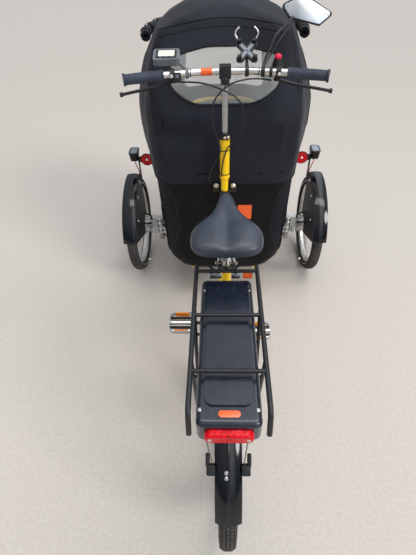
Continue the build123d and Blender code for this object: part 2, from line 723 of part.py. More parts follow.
for name, side, x, y, tyre_r, flange_half, flange_r, spokes in wheel_table:
    rim_r = tyre_r - tyre_depth
    rim_half = sqrt((tyre_width / 2) ** 2 - (tyre_depth - tyre_width / 2) ** 2)
    axle = Axis((x, y, tyre_r), (1, 0, 0))
    across = Plane(origin=(x, y, tyre_r), x_dir=(1, 0, 0), z_dir=(0, -1, 0))

    with BuildPart() as tyre:
        with BuildSketch(across):
            with Locations((0, tyre_r - tyre_width / 2)):
                Circle(tyre_width / 2)
            with Locations((0, rim_r - tyre_width / 2)):
                Rectangle(tyre_width, tyre_width, mode=Mode.SUBTRACT)
        revolve(axis=axle)
    tyre.part.label = f"{name}_tyre"
    export_step(tyre.part, f"parts/{name}_tyre.step")

    with BuildPart() as rim:
        with BuildSketch(across):
            with BuildLine():
                well = rim_r - rim_depth
                Polyline(
                    (-rim_half, rim_r), (rim_half, rim_r), (rim_half, rim_r - 7), (7, well), (-7, well),
                    (-rim_half, rim_r - 7), close=True,
                )
            make_face()
        revolve(axis=axle)
    rim.part.label = f"{name}_rim"
    export_step(rim.part, f"parts/{name}_rim.step")

    with BuildPart() as hub:
        if name == "rear":
            # start x, end x, radius
            steps = ((-48, -36, 50), (-36, 36, 62), (36, 48, 50), (48, 60, 18))
            bore = axle_r + running_gap
        else:
            low, high = (drum_in, hub_out) if side > 0 else (-hub_out, -drum_in)
            steps = ((low, high, 20),)
            steps += ((min(side * drum_in, side * drum_out), max(side * drum_in, side * drum_out), drum_r),)
            bore = stub_r + running_gap
        for low, high, radius in steps:
            bar((low, y, tyre_r), (high, y, tyre_r), radius)
        for flange in (-1, 1):
            middle = x + flange * flange_half
            bar((middle - flange_thick / 2, y, tyre_r), (middle + flange_thick / 2, y, tyre_r), flange_r)
        if name == "rear":
            with BuildSketch(Plane.YZ.offset(chain_x - tooth_thick / 2)):
                with Locations((y, tyre_r)):
                    toothed_disc(sprocket_r, sprocket_teeth)
            extrude(amount=tooth_thick)
        bar((x - bore_half, y, tyre_r), (x + bore_half, y, tyre_r), bore, mode=Mode.SUBTRACT)
    hub.part.label = f"{name}_hub"
    export_step(hub.part, f"parts/{name}_hub.step")

    # Laced outside and inside each flange, leading and trailing in turn
    with BuildPart() as wheel_spokes:
        well = rim_r - rim_depth
        for index in range(spokes):
            flange = 1 if index % 2 else -1
            beside = 1 if index % 4 < 2 else -1
            turn = 2 * pi * index / spokes
            lace = turn + beside * radians(42)
            root_x = x + flange * flange_half + beside * (flange_thick / 2 + 0.7 + spoke_r)
            root_r = flange_r - 2
            root = Vector(root_x, y + root_r * cos(lace), tyre_r + root_r * sin(lace))
            tip_r = well - seat_gap - 0.4
            tip = Vector(x + flange * 4, y + tip_r * cos(turn), tyre_r + tip_r * sin(turn))
            bar(tuple(root), tuple(tip), spoke_r)
    wheel_spokes.part.label = f"{name}_spokes"
    export_step(wheel_spokes.part, f"parts/{name}_spokes.step")

# Knuckles, guards, lamps and reflectors of the two front wheels
brake_r = 50.0
brake_plate_x = 391.0
lug_in = 329.0
lug_out = 381.0
knuckle_foot = 199.0
knuckle_top = 300.0
lamp_z = 612.0
reflector_x = 372.0
reflector_z = 617.0
for name, side in (("left", -1), ("right", 1)):
    axle_z = front_tyre_r
    pin_x = side * kingpin_half_track

    def out(distance):
        """A distance from the middle plane, on this side."""
        return side * distance

    def block(near, far, y_near, y_far, z_near, z_far):
        """A block from one distance off the middle plane to another."""
        with Locations((out((near + far) / 2), (y_near + y_far) / 2, (z_near + z_far) / 2)):
            Box(far - near, y_far - y_near, z_far - z_near)

    with BuildPart() as knuckle:
        bar((pin_x, front_y, arm_z), (pin_x, front_y, knuckle_top), kingpin_r)
        block(lug_in, lug_out, front_y - 15, front_y + 15, kingpin_tube_top + 3, knuckle_top)
        block(lug_in, lug_out, front_y - 15, front_y + 15, knuckle_foot, kingpin_tube_foot - 4)
        block(lug_out - 12, lug_out, front_y - 20, front_y + 20, knuckle_foot, knuckle_top)
        bar((pin_x, front_y, arm_z), (pin_x, front_y, knuckle_foot + 1), 14)
        bar((out(lug_out - 12), front_y, axle_z), (out(hub_out + 16), front_y, axle_z), stub_r)
        bar((out(lug_out), front_y, axle_z), (out(brake_plate_x), front_y, axle_z), 16)
        bar((out(brake_plate_x), front_y, axle_z), (out(drum_in - 2.5), front_y, axle_z), brake_r)
        bar((out(hub_out + 1.5), front_y, axle_z), (out(hub_out + 8), front_y, axle_z), 13)
        with BuildSketch(Plane.XY.offset(arm_z)):
            tip_y = front_y + arm_reach
            with BuildLine():
                Polyline(
                    (pin_x - 13, front_y), (pin_x + 13, front_y),
                    (pin_x + out(arm_side) + 10, tip_y), (pin_x + out(arm_side) - 10, tip_y), close=True,
                )
            make_face()
            with Locations((pin_x + out(arm_side), tip_y)):
                Circle(11)
        extrude(amount=arm_thick)
        pin_top = (pin_x + out(arm_side), tip_y, arm_z)
        bar((pin_x + out(arm_side), tip_y, arm_z - 16), pin_top, rod_pin_r)
    knuckle.part.label = f"{name}_knuckle"
    export_step(knuckle.part, f"parts/{name}_knuckle.step")

    with BuildPart() as mudguard:
        near = min(out(guard_plate_x), out(guard_outer_x))
        far = max(out(guard_plate_x), out(guard_outer_x))
        with BuildSketch(guard_plane(0, front_y, axle_z, guard_from)):
            with BuildLine():
                crowned_strip(near, far, guard_r - 4, 6, guard_wall)
            make_face()
        revolve(axis=Axis((0, front_y, axle_z), (1, 0, 0)), revolution_arc=guard_to - guard_from)
        with BuildSketch(Plane.YZ.offset(out(guard_plate_x) - (3 if side < 0 else 0))):
            plate_r = guard_r - 3
            first = (plate_r * cos(radians(guard_from)), plate_r * sin(radians(guard_from)))
            last = (plate_r * cos(radians(guard_to)), plate_r * sin(radians(guard_to)))
            half_way = radians((guard_from + guard_to) / 2)
            middle = (plate_r * cos(half_way), plate_r * sin(half_way))
            at = [(front_y + a, axle_z + b) for a, b in (first, middle, last, (-20, -32), (34, -32))]
            with BuildLine():
                ThreePointArc(at[0], at[1], at[2])
                Polyline(at[2], at[3], at[4], at[0])
            make_face()
            with Locations((front_y, axle_z)):
                Circle(58, mode=Mode.SUBTRACT)
        extrude(amount=3)
        for angle in (100, 140):
            c, s = cos(radians(angle)), sin(radians(angle))
            run = [
                (out(brake_plate_x - 4 - seat_gap), front_y + 38 * c, axle_z + 38 * s),
                (out(brake_plate_x - 4 - seat_gap), front_y + 64 * c, axle_z + 64 * s),
                (out(guard_plate_x + 1), front_y + 84 * c, axle_z + 84 * s),
            ]
            bent_bar(run, 8, 4)
    mudguard.part.label = f"{name}_mudguard"
    export_step(mudguard.part, f"parts/{name}_mudguard.step")

    with BuildPart() as headlight:
        post_x = guard_plate_x - seat_gap - 3
        block(post_x, post_x + 3, front_y + 30, front_y + 54, 500, lamp_z)
        block(post_x, 448, front_y + 30, front_y + 54, lamp_z - 3, lamp_z)
        block(reflector_x - 7, post_x + 2, front_y + 30, front_y + 33, reflector_z - 17, reflector_z + 13)
        with BuildSketch(Plane.XY.offset(lamp_z)):
            with Locations((out(434), front_y + 47)):
                RectangleRounded(34, 60, 8)
        extrude(amount=40, taper=-8)
    headlight.part.label = f"{name}_headlight"
    export_step(headlight.part, f"parts/{name}_headlight.step")

    with BuildPart() as reflector:
        reflector_y = front_y + 30 - seat_gap
        bar((out(reflector_x), reflector_y, reflector_z), (out(reflector_x), reflector_y - 7, reflector_z), 29)
    reflector.part.label = f"{name}_reflector"
    export_step(reflector.part, f"parts/{name}_reflector.step")

    # Tie rod between the pitman arm and this knuckle, with an eye at each end
    with BuildPart() as tie_rod:
        eye_z = arm_z - tie_rod_r - 2
        inner = (out(arm_side), column_y + arm_reach, eye_z)
        outer = (out(kingpin_half_track + arm_side), front_y + arm_reach, eye_z)
        direction = (Vector(*outer) - Vector(*inner)).normalized()
        bar(tuple(Vector(*inner) + direction * 8), tuple(Vector(*outer) - direction * 8), tie_rod_r - 1)
        for eye, bore in ((inner, rod_pin_r + running_gap), (outer, rod_pin_r + 0.8)):
            with Locations(eye):
                Cylinder(11, 2 * tie_rod_r)
                Cylinder(bore, 2 * tie_rod_r + 4, mode=Mode.SUBTRACT)
    tie_rod.part.label = f"{name}_tie_rod"
    export_step(tie_rod.part, f"parts/{name}_tie_rod.step")

# Steering column with the pitman arm at its foot
column_top = bar_z - bar_r - 3
with BuildPart() as steering_column:
    bar((0, column_y, arm_z), (0, column_y, column_top), column_r)
    with BuildSketch(Plane.XY.offset(arm_z)):
        with BuildLine():
            tip_y = column_y + arm_reach
            Polyline((-14, column_y), (14, column_y), (arm_side + 9, tip_y), (-arm_side - 9, tip_y), close=True)
        make_face()
        with Locations((0, column_y)):
            Circle(16)
        with Locations((-arm_side, tip_y), (arm_side, tip_y)):
            Circle(11)
    extrude(amount=arm_thick)
    for side in (-1, 1):
        bar((side * arm_side, tip_y, arm_z - 16), (side * arm_side, tip_y, arm_z), rod_pin_r)
steering_column.part.label = "steering_column"
export_step(steering_column.part, "parts/steering_column.step")

# Stem and handlebar
bar_y = column_y + 15
bar_points = [(bar_half, column_y - 49, bar_z), (190, column_y - 8, bar_z), (80, bar_y, bar_z)]


def on_bar(x, toward):
    """The point on the handlebar at x, moved along the bar outwards by a distance."""
    if abs(x) < bar_points[2][0]:
        return (x + toward, bar_y, bar_z)
    right = bar_points[:2] if abs(x) > bar_points[1][0] else bar_points[1:]
    outer, inner = (Vector(*point) for point in right)
    outward = (outer - inner).normalized()
    place = inner + (outer - inner) * ((abs(x) - inner.X) / (outer.X - inner.X)) + outward * toward
    return (place.X if x > 0 else -place.X, place.Y, place.Z)


def clamp(x, half, wall, mode=Mode.ADD):
    """A ring round the handlebar, or the bore through it."""
    radius = bar_r + wall
    bar(on_bar(x, -half), on_bar(x, half), radius, mode=mode)

with BuildPart() as stem:
    with Locations((0, column_y, bar_z - 24)):
        Cylinder(15, 18)
    with Locations((0, bar_y + 2, bar_z)):
        Box(38, 36, 36)
    bar((-40, bar_y, bar_z), (40, bar_y, bar_z), bar_r, mode=Mode.SUBTRACT)
    bar((0, column_y, bar_z - 50), (0, column_y, column_top), column_r, mode=Mode.SUBTRACT)
stem.part.label = "stem"
export_step(stem.part, "parts/stem.step")

with BuildPart() as handlebar:
    bent_bar(mirrored(bar_points), 80, bar_r)
handlebar.part.label = "handlebar"
export_step(handlebar.part, "parts/handlebar.step")

# Grips with ribs, and the brake levers inboard of them
with BuildPart() as grips:
    for side in (-1, 1):
        end = Vector(side * bar_half, column_y - 49, bar_z)
        inward = (Vector(side * 190, column_y - 8, bar_z) - end).normalized()
        bar(tuple(end - inward * 3), tuple(end + inward * grip_length), grip_r)
        for index in range(12):
            start = end + inward * (4 + index * 10)
            bar(tuple(start), tuple(start + inward * 5), grip_r + 1.5)
        bar(tuple(end), tuple(end + inward * (grip_length + 1)), bar_r + 0.1, mode=Mode.SUBTRACT)
grips.part.label = "grips"
export_step(grips.part, "parts/grips.step")

with BuildPart() as brake_levers:
    for side in (-1, 1):
        clamp(side * 171, 8, 6)
        pivot = (side * 168, column_y + 30, bar_z - 30)
        bar((side * 170, column_y + 4, bar_z - 6), pivot, 8.5)
        tip = (side * 340, column_y - 6, bar_z - 58)
        bent_bar([pivot, (side * 228, column_y + 18, bar_z - 44), tip], 90, 5)
        bar(tip, (side * 350, column_y - 8, bar_z - 59), 7.5)
        clamp(side * 171, 12, 0.1, mode=Mode.SUBTRACT)
brake_levers.part.label = "brake_levers"
export_step(brake_levers.part, "parts/brake_levers.step")

# Display on its arm, phone holder, horn and mirror
with BuildPart() as display:
    display_plane = Plane(origin=(-187, column_y + 30, bar_z + 31), x_dir=(1, 0, 0), z_dir=(0, -0.3, 1))
    with BuildSketch(display_plane):
        RectangleRounded(84, 58, 10)
    extrude(amount=22)
    clamp(-124, 5, 5)
    bar((-124, column_y + 10, bar_z + 8), (-160, column_y + 26, bar_z + 36), 5)
    clamp(-124, 12, 0.1, mode=Mode.SUBTRACT)
display.part.label = "display"
export_step(display.part, "parts/display.step")

finger_turns = (56, 124, 236, 304)  # round the middle of the holder, in its plane
with BuildPart() as phone_holder:
    holder_plane = Plane(origin=(70, column_y + 60, bar_z + 41), x_dir=(1, 0, 0), z_dir=(0, -0.45, 1))
    with BuildSketch(holder_plane):
        for turn in finger_turns[:2]:
            SlotOverall(104, 24, rotation=turn)
    extrude(amount=7)
    with BuildSketch(holder_plane):
        for turn in finger_turns:
            with Locations((43 * cos(radians(turn)), 43 * sin(radians(turn)))):
                RectangleRounded(14, 10, 3)
    extrude(amount=20)
    clamp(70, 6, 5)
    bar((70, column_y + 24, bar_z + 8), (70, column_y + 60, bar_z + 43), 5)
    clamp(70, 12, 0.1, mode=Mode.SUBTRACT)
phone_holder.part.label = "phone_holder"
export_step(phone_holder.part, "parts/phone_holder.step")

with BuildPart() as horn:
    horn_x = 170
    horn_y = column_y + 40
    clamp_x = 147
    with Locations((horn_x, horn_y, bar_z + 14)):
        Cone(20, 13, 28)
    with Locations((horn_x, horn_y, bar_z + 31)):
        Cylinder(9, 10)
    clamp(clamp_x, 5, 4)
    bar((clamp_x, column_y + 13, bar_z + 6), (horn_x - 8, horn_y - 4, bar_z + 6), 4)
    clamp(clamp_x, 30, 0.1, mode=Mode.SUBTRACT)
horn.part.label = "horn"
export_step(horn.part, "parts/horn.step")

with BuildPart() as mirror:
    arm = [
        (122, column_y + 10, bar_z + bar_r),
        (127, column_y + 30, bar_z + 24),
        (158, column_y + 60, bar_z + 89),
        (222, column_y + 115, bar_z + 131),
    ]
    bent_bar(arm, [14, 30], 4)
    clamp(122, 6, 5)
    clamp(122, 12, 0.1, mode=Mode.SUBTRACT)
    mirror_plane = Plane(origin=(262, column_y + 112, bar_z + 138), x_dir=(1, 0, 0), z_dir=(0, -1, 0.45))
    with BuildSketch(mirror_plane):
        with BuildLine():
            corners = [(-86, 22), (-60, -12), (39, -37), (80, -6), (5, 37), (-40, 42)]
            FilletPolyline(*corners, radius=8, close=True)
        make_face()
    extrude(amount=-12)
mirror.part.label = "mirror"
export_step(mirror.part, "parts/mirror.step")

# Crankset: spindle, spider, chainring and two arms
tilt = radians(crank_tilt)
with BuildPart() as crankset:
    bar((-crank_x - 10, crank_y, crank_height), (crank_x + 10, crank_y, crank_height), spindle_r)
    bar((shell_half + 1.5, crank_y, crank_height), (crank_x, crank_y, crank_height), 15)
    bar((-crank_x, crank_y, crank_height), (-shell_half - 1.5, crank_y, crank_height), 13)
    with BuildSketch(Plane.YZ.offset(chain_x - tooth_thick / 2)):
        with Locations((crank_y, crank_height)):
            toothed_disc(ring_r, ring_teeth)
            Circle(ring_r - 17, mode=Mode.SUBTRACT)
            Circle(24)
            for arm in range(5):
                turn = 2 * pi * arm / 5
                with Locations((38 * cos(turn), 38 * sin(turn))):
                    Rectangle(64, 13, rotation=degrees(turn))
    extrude(amount=tooth_thick)
    for side in (-1, 1):
        # The left arm points up and back, the right arm down and forward.
        y_end = crank_y + side * crank_length * sin(tilt)
        z_end = crank_height - side * crank_length * cos(tilt)
        with BuildSketch(Plane.YZ.offset(side * (crank_x + crank_thick / 2) - crank_thick / 2)):
            with Locations((crank_y, crank_height)):
                Circle(16)
            with Locations((y_end, z_end)):
                Circle(12)
            make_hull()
        extrude(amount=crank_thick)
        bar((side * (crank_x + crank_thick - 2), y_end, z_end), (side * (pedal_outer - 6), y_end, z_end), pedal_pin_r)
crankset.part.label = "crankset"
export_step(crankset.part, "parts/crankset.step")

# Pedals: an open cage round a sleeve, with a rubber block at the front and the back
pedal_half = 42.0
for name, side in (("left", -1), ("right", 1)):
    y = crank_y + side * crank_length * sin(tilt)
    z = crank_height - side * crank_length * cos(tilt)
    middle = side * (pedal_inner + pedal_outer) / 2
    length = pedal_outer - pedal_inner
    with BuildPart() as pedal:
        with Locations((middle, y, z)):
            Box(length, 2 * pedal_half, 18)
            Box(length - 8, 2 * pedal_half - 8, 20, mode=Mode.SUBTRACT)
            for place in (-1, 1):
                with Locations((0, place * 27, 0)):
                    Box(length, 16, 24)
        bar((side * pedal_inner, y, z), (side * (pedal_outer - 3), y, z), 11)
        bore_ends = [(side * x, y, z) for x in (pedal_inner - 5, pedal_outer - 5.5)]
        bar(*bore_ends, pedal_pin_r + running_gap, mode=Mode.SUBTRACT)
    pedal.part.label = f"{name}_pedal"
    export_step(pedal.part, f"parts/{name}_pedal.step")

# Chain: inner and outer links in turn, round the chainring and the rear sprocket
chain_links = 96
plate_thick = 0.8
pin_half = 3.5
link_points = ((-9.6, 0), (-6.3, -4), (6.3, -4), (9.6, 0), (6.3, 4), (-6.3, 4))
with BuildPart() as chain:
    with BuildSketch(Plane.XY, mode=Mode.PRIVATE) as loop:
        with Locations((crank_y, crank_height)):
            Circle(ring_r)
        with Locations((rear_y, rear_tyre_r)):
            Circle(sprocket_r)
        make_hull()
    path = loop.sketch.wires()[0]
    pins = [path @ (index / chain_links) for index in range(chain_links)]
    links = []
    for pin, following in zip(pins, pins[1:] + pins[:1]):
        along = following - pin
        links.append(Location((pin + following) * 0.5, (0, 0, degrees(atan2(along.Y, along.X)))))
    # first link of the kind, distance of its plates from the middle of the chain
    for first, gap in ((0, 1.8), (1, 2.9)):
        for x in (chain_x - gap - plate_thick, chain_x + gap):
            with BuildSketch(Plane.YZ.offset(x)):
                with Locations(*links[first::2]):
                    Polygon(*link_points, align=None)
            extrude(amount=plate_thick)
    with BuildSketch(Plane.YZ.offset(chain_x - pin_half)):
        with Locations(*pins):
            RegularPolygon(2.2, 4)
    extrude(amount=2 * pin_half)
chain.part.label = "chain"
export_step(chain.part, "parts/chain.step")
print("built", len(os.listdir("parts")), "files")
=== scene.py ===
"""Looks of an electric cargo tricycle with a black canvas hood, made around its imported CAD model.

Metres, in the CAD model's frame: X to the rider's right, Y forward, Z up, origin on the ground in the middle.
"""

import cmath
import math

import bmesh
import bpy
import numpy as np
from mathutils import Matrix, Vector, noise
from mathutils.bvhtree import BVHTree


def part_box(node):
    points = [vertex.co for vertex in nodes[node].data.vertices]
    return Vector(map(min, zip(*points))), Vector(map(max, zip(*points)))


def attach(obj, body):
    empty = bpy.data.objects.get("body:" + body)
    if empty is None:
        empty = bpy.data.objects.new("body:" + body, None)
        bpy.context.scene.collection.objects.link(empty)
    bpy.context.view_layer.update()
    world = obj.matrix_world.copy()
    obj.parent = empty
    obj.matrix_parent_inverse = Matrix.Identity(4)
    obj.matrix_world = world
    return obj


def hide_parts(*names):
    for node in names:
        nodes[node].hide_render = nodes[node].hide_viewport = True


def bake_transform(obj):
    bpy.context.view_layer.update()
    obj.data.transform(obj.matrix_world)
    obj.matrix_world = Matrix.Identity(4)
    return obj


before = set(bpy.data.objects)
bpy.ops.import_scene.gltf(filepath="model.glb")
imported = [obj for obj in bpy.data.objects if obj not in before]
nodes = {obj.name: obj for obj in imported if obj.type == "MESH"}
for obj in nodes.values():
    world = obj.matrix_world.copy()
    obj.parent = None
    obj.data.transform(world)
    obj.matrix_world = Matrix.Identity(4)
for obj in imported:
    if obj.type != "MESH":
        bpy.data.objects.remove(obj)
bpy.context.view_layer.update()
scene = bpy.context.scene

RIGHT = Vector((1, 0, 0))
FORWARDS = Vector((0, 1, 0))
BACKWARDS = Vector((0, -1, 0))
UPWARDS = Vector((0, 0, 1))

# Places that the CAD model gives
REAR_Y = -0.671
FRONT_Y = 0.488
COLUMN_Y = 0.129
CRANK_Y = -0.261
BAR_Z = 1.112
REAR_TYRE_R = 0.330
FRONT_TYRE_R = 0.250
FRONT_WHEEL_X = 0.4585
TYRE_DEPTH = 0.044
GUARD_PLATE_EDGE = 0.4225
SADDLE_FOOT = 0.858
# the tub's back panel: half its width at its waist, the waist's height, and how fast it widens from there
PANEL_HALF = 0.20
PANEL_WAIST = 0.515
PANEL_FLARE = 1.3
PANEL_FRONT = 0.23

# The photograph's viewpoint
SENSOR_MM = 36
FOCAL_LENGTH_PIXELS = 386.3267
PICTURE_HEIGHT_PIXELS = 555
CAMERA_PLACE = (-0.0159, -1.2162, 1.5152)
YAW, PITCH, ROLL = (math.radians(angle) for angle in (-2.6728, 44.5301, -2.0416))
ahead = Vector((math.sin(YAW) * math.cos(PITCH), math.cos(YAW) * math.cos(PITCH), -math.sin(PITCH)))
level = Vector((math.cos(YAW), -math.sin(YAW), 0))
above = level.cross(ahead)
camera_right = level * math.cos(ROLL) + above * math.sin(ROLL)
camera_up = above * math.cos(ROLL) - level * math.sin(ROLL)
camera_data = bpy.data.cameras.new("photograph")
camera_data.lens = SENSOR_MM * FOCAL_LENGTH_PIXELS / PICTURE_HEIGHT_PIXELS
camera_data.sensor_width = SENSOR_MM
camera_data.clip_end = 60
camera = bpy.data.objects.new("photograph", camera_data)
camera_turn = Matrix((camera_right, camera_up, -ahead)).transposed().to_4x4()
camera.matrix_world = Matrix.Translation(CAMERA_PLACE) @ camera_turn
scene.collection.objects.link(camera)
scene.camera = camera
scene.view_settings.view_transform = "Standard"


# Small tools

def linear(hex_colour):
    """An sRGB hex colour as linear light."""
    channels = [int(hex_colour[i:i + 2], 16) / 255 for i in (1, 3, 5)]
    return (*[c / 12.92 if c <= 0.04045 else ((c + 0.055) / 1.055) ** 2.4 for c in channels], 1.0)


def put(tree, kind, feeds=None, **settings):
    """Adds a node; feeds gives its inputs, by name or place, as values or as sockets that lead there."""
    fresh = tree.nodes.new(kind)
    for name, value in settings.items():
        setattr(fresh, name, value)
    for name, value in (feeds or {}).items():
        if isinstance(value, bpy.types.NodeSocket):
            tree.links.new(value, fresh.inputs[name])
        else:
            fresh.inputs[name].default_value = value
    return fresh


def ramp(tree, factor, stops):
    """A colour ramp through stops of place and colour."""
    made = put(tree, "ShaderNodeValToRGB", {"Fac": factor})
    elements = made.color_ramp.elements
    while len(elements) < len(stops):
        elements.new(0.5)
    for element, (place, colour) in zip(elements, stops):
        element.position = place
        element.color = colour
    return made.outputs["Color"]


def finish_of(name, colour, **sockets):
    """A material with its shader, and the object coordinates that its patterns read."""
    made = bpy.data.materials.new(name)
    made.use_nodes = True
    tree = made.node_tree
    shader = tree.nodes["Principled BSDF"]
    shader.inputs["Base Color"].default_value = linear(colour)
    for socket, value in sockets.items():
        shader.inputs[socket.replace("_", " ")].default_value = value
    place = put(tree, "ShaderNodeTexCoord").outputs["Object"]
    return made, tree, shader, place


def speckle(tree, place, size, detail=2.0, stretch=(1, 1, 1)):
    """Noise whose blotches are about size metres across."""
    spread = put(tree, "ShaderNodeMapping", {"Vector": place, "Scale": stretch}).outputs[0]
    made = put(tree, "ShaderNodeTexNoise", {"Vector": spread, "Scale": 1 / size, "Detail": detail})
    return made.outputs["Fac"]


def tint(tree, shader, factor, first, last, start=0.3, end=0.7):
    """Varies the base colour from a first hex colour to a last, as a factor goes from start to end."""
    colour = ramp(tree, factor, [(start, linear(first)), (end, linear(last))])
    tree.links.new(colour, shader.inputs["Base Color"])


def rough_between(tree, shader, factor, low, high):
    """Varies the roughness between two values."""
    spread = put(tree, "ShaderNodeMapRange", {
        "Value": factor, "From Min": 0.3, "From Max": 0.7, "To Min": low, "To Max": high,
    })
    tree.links.new(spread.outputs[0], shader.inputs["Roughness"])


def relief(tree, shader, height, depth):
    """Bump of a depth in metres."""
    made = put(tree, "ShaderNodeBump", {"Height": height, "Distance": depth, "Strength": 1.0})
    tree.links.new(made.outputs["Normal"], shader.inputs["Normal"])


# Finishes

def enamel_yellow():
    """Powder coat on steel tube: a clean yellow with a faint orange-peel ripple and a soft gloss."""
    made, tree, shader, place = finish_of(
        "powder_coat_yellow", "#FFCF00", Roughness=0.34, Specular_IOR_Level=0.35, Coat_Weight=0.15,
        Coat_Roughness=0.15,
    )
    tint(tree, shader, speckle(tree, place, 0.06), "#FFCA00", "#FFD808")
    rough_between(tree, shader, speckle(tree, place, 0.02), 0.26, 0.42)
    relief(tree, shader, speckle(tree, place, 0.0016), 0.00008)
    return made


def enamel_black():
    """Satin powder coat on rack and stem: near black, with a fine ripple that breaks up its highlights."""
    made, tree, shader, place = finish_of("powder_coat_black", "#17181A", Roughness=0.4)
    tint(tree, shader, speckle(tree, place, 0.03, 4.0), "#131416", "#1D1E21")
    rough_between(tree, shader, speckle(tree, place, 0.012, 3.0), 0.32, 0.5)
    relief(tree, shader, speckle(tree, place, 0.0012), 0.00008)
    return made


def bare_metal(name, colour, roughness, grain=(1, 1, 1), grain_depth=0.00004):
    """Bare metal with a grain drawn out along one axis."""
    made, tree, shader, place = finish_of(name, colour, Metallic=1.0, Roughness=roughness)
    scratches = speckle(tree, place, 0.004, 3.0, grain)
    rough_between(tree, shader, scratches, roughness * 0.75, roughness * 1.35)
    relief(tree, shader, speckle(tree, place, 0.0015, 2.0, grain), grain_depth)
    return made


def moulded(name, dark, light, roughness, grain=0.0011, depth=0.00008, coat=0.0):
    """Moulded plastic or rubber: slight mottling in its colour and the fine texture of its mould."""
    made, tree, shader, place = finish_of(
        name, light, Roughness=roughness, Coat_Weight=coat, Coat_Roughness=0.06,
    )
    tint(tree, shader, speckle(tree, place, 0.05, 4.0), dark, light)
    rough_between(tree, shader, speckle(tree, place, 0.02, 3.0), roughness * 0.85, roughness * 1.2)
    relief(tree, shader, speckle(tree, place, grain), depth)
    return made


def dusty_rubber(name, dark, light):
    """Tyre rubber: charcoal, matt, with road dust in blotches."""
    made, tree, shader, place = finish_of(name, light, Roughness=0.82)
    dust = put(tree, "ShaderNodeMath", {
        0: speckle(tree, place, 0.09, 5.0), 1: speckle(tree, place, 0.012, 3.0),
    }, operation="MULTIPLY").outputs[0]
    tint(tree, shader, dust, dark, light, 0.08, 0.4)
    relief(tree, shader, speckle(tree, place, 0.0018), 0.00012)
    return made


# what a wave texture of scale 1 repeats after, in metres
WAVE_REPEAT = 0.314


def canvas(name, dark, light, thread=0.0024):
    """Acrylic canvas: plain weave, faded unevenly.

    Its 0.6 mm threads are drawn four times as coarse, so that they show.
    """
    made, tree, shader, place = finish_of(
        name, light, Roughness=0.72, Specular_IOR_Level=0.35, Sheen_Weight=0.1, Sheen_Roughness=0.35,
    )
    waves = []
    for direction in ("DIAGONAL", "Z"):
        waves.append(put(tree, "ShaderNodeTexWave", {
            "Vector": place, "Scale": WAVE_REPEAT / thread,
            "Distortion": 0.6, "Detail": 1.0, "Detail Scale": 2.0,
        }, bands_direction=direction).outputs["Fac"])
    weave = put(tree, "ShaderNodeMath", {0: waves[0], 1: waves[1]}, operation="ADD").outputs[0]
    fade = put(tree, "ShaderNodeMath", {
        0: speckle(tree, place, 0.22, 5.0), 1: speckle(tree, place, 0.003, 2.0),
    }, operation="ADD").outputs[0]
    half = put(tree, "ShaderNodeMath", {0: fade, 1: 0.5}, operation="MULTIPLY").outputs[0]
    tint(tree, shader, half, dark, light)
    relief(tree, shader, weave, 0.00012)
    return made


def below(tree, value, limit):
    """1 where a value is under a limit, and 0 elsewhere."""
    return put(tree, "ShaderNodeMath", {0: value, 1: limit}, operation="LESS_THAN").outputs[0]


def tub_skin():
    """Moulded tub shell: navy black, satin and finely grained, with a blacker panel across its back."""
    made, tree, shader, place = finish_of(
        "rotomoulded_polyethylene", "#131722", Roughness=0.5, Specular_IOR_Level=0.2,
    )
    axes = put(tree, "ShaderNodeSeparateXYZ", {0: place}).outputs
    from_middle = put(tree, "ShaderNodeMath", {0: axes[0]}, operation="ABSOLUTE").outputs[0]
    from_waist = put(tree, "ShaderNodeMath", {0: axes[2], 1: PANEL_WAIST}, operation="SUBTRACT").outputs[0]
    square = put(tree, "ShaderNodeMath", {0: from_waist, 1: from_waist}, operation="MULTIPLY").outputs[0]
    border = put(tree, "ShaderNodeMath", {
        0: square, 1: PANEL_FLARE, 2: PANEL_HALF,
    }, operation="MULTIPLY_ADD").outputs[0]
    panel = put(tree, "ShaderNodeMath", {
        0: below(tree, from_middle, border), 1: below(tree, axes[1], PANEL_FRONT),
    }, operation="MULTIPLY").outputs[0]
    mottle = speckle(tree, place, 0.05, 4.0)
    mix = put(tree, "ShaderNodeMix", {
        "Factor": panel,
        6: ramp(tree, mottle, [(0.3, linear("#090C13")), (0.7, linear("#0F131D"))]),
        7: ramp(tree, mottle, [(0.3, linear("#06070B")), (0.7, linear("#0C0E14"))]),
    }, data_type="RGBA")
    tree.links.new(mix.outputs[2], shader.inputs["Base Color"])
    rough_between(tree, shader, speckle(tree, place, 0.02, 3.0), 0.45, 0.65)
    relief(tree, shader, speckle(tree, place, 0.002), 0.00015)
    return made


def guard_lacquer():
    """Polished black guard: mirror gloss outside, and a dull inner plate on the front ones."""
    made, tree, shader, place = finish_of("polished_abs_black", "#06080C", Roughness=0.12)
    axes = put(tree, "ShaderNodeSeparateXYZ", {0: place}).outputs
    from_middle = put(tree, "ShaderNodeMath", {0: axes[0]}, operation="ABSOLUTE").outputs[0]
    outside_plate = below(tree, GUARD_PLATE_EDGE, from_middle)
    rear = below(tree, axes[1], 0.0)
    gloss = put(tree, "ShaderNodeMath", {0: outside_plate, 1: rear}, operation="MAXIMUM").outputs[0]
    spread = put(tree, "ShaderNodeMapRange", {"Value": gloss, "To Min": 0.5, "To Max": 0.08}).outputs[0]
    smears = put(tree, "ShaderNodeMath", {
        0: speckle(tree, place, 0.05, 4.0), 1: 0.08, 2: spread,
    }, operation="MULTIPLY_ADD").outputs[0]
    tree.links.new(smears, shader.inputs["Roughness"])
    tint(tree, shader, speckle(tree, place, 0.05, 4.0), "#05070B", "#0A0D14")
    return made


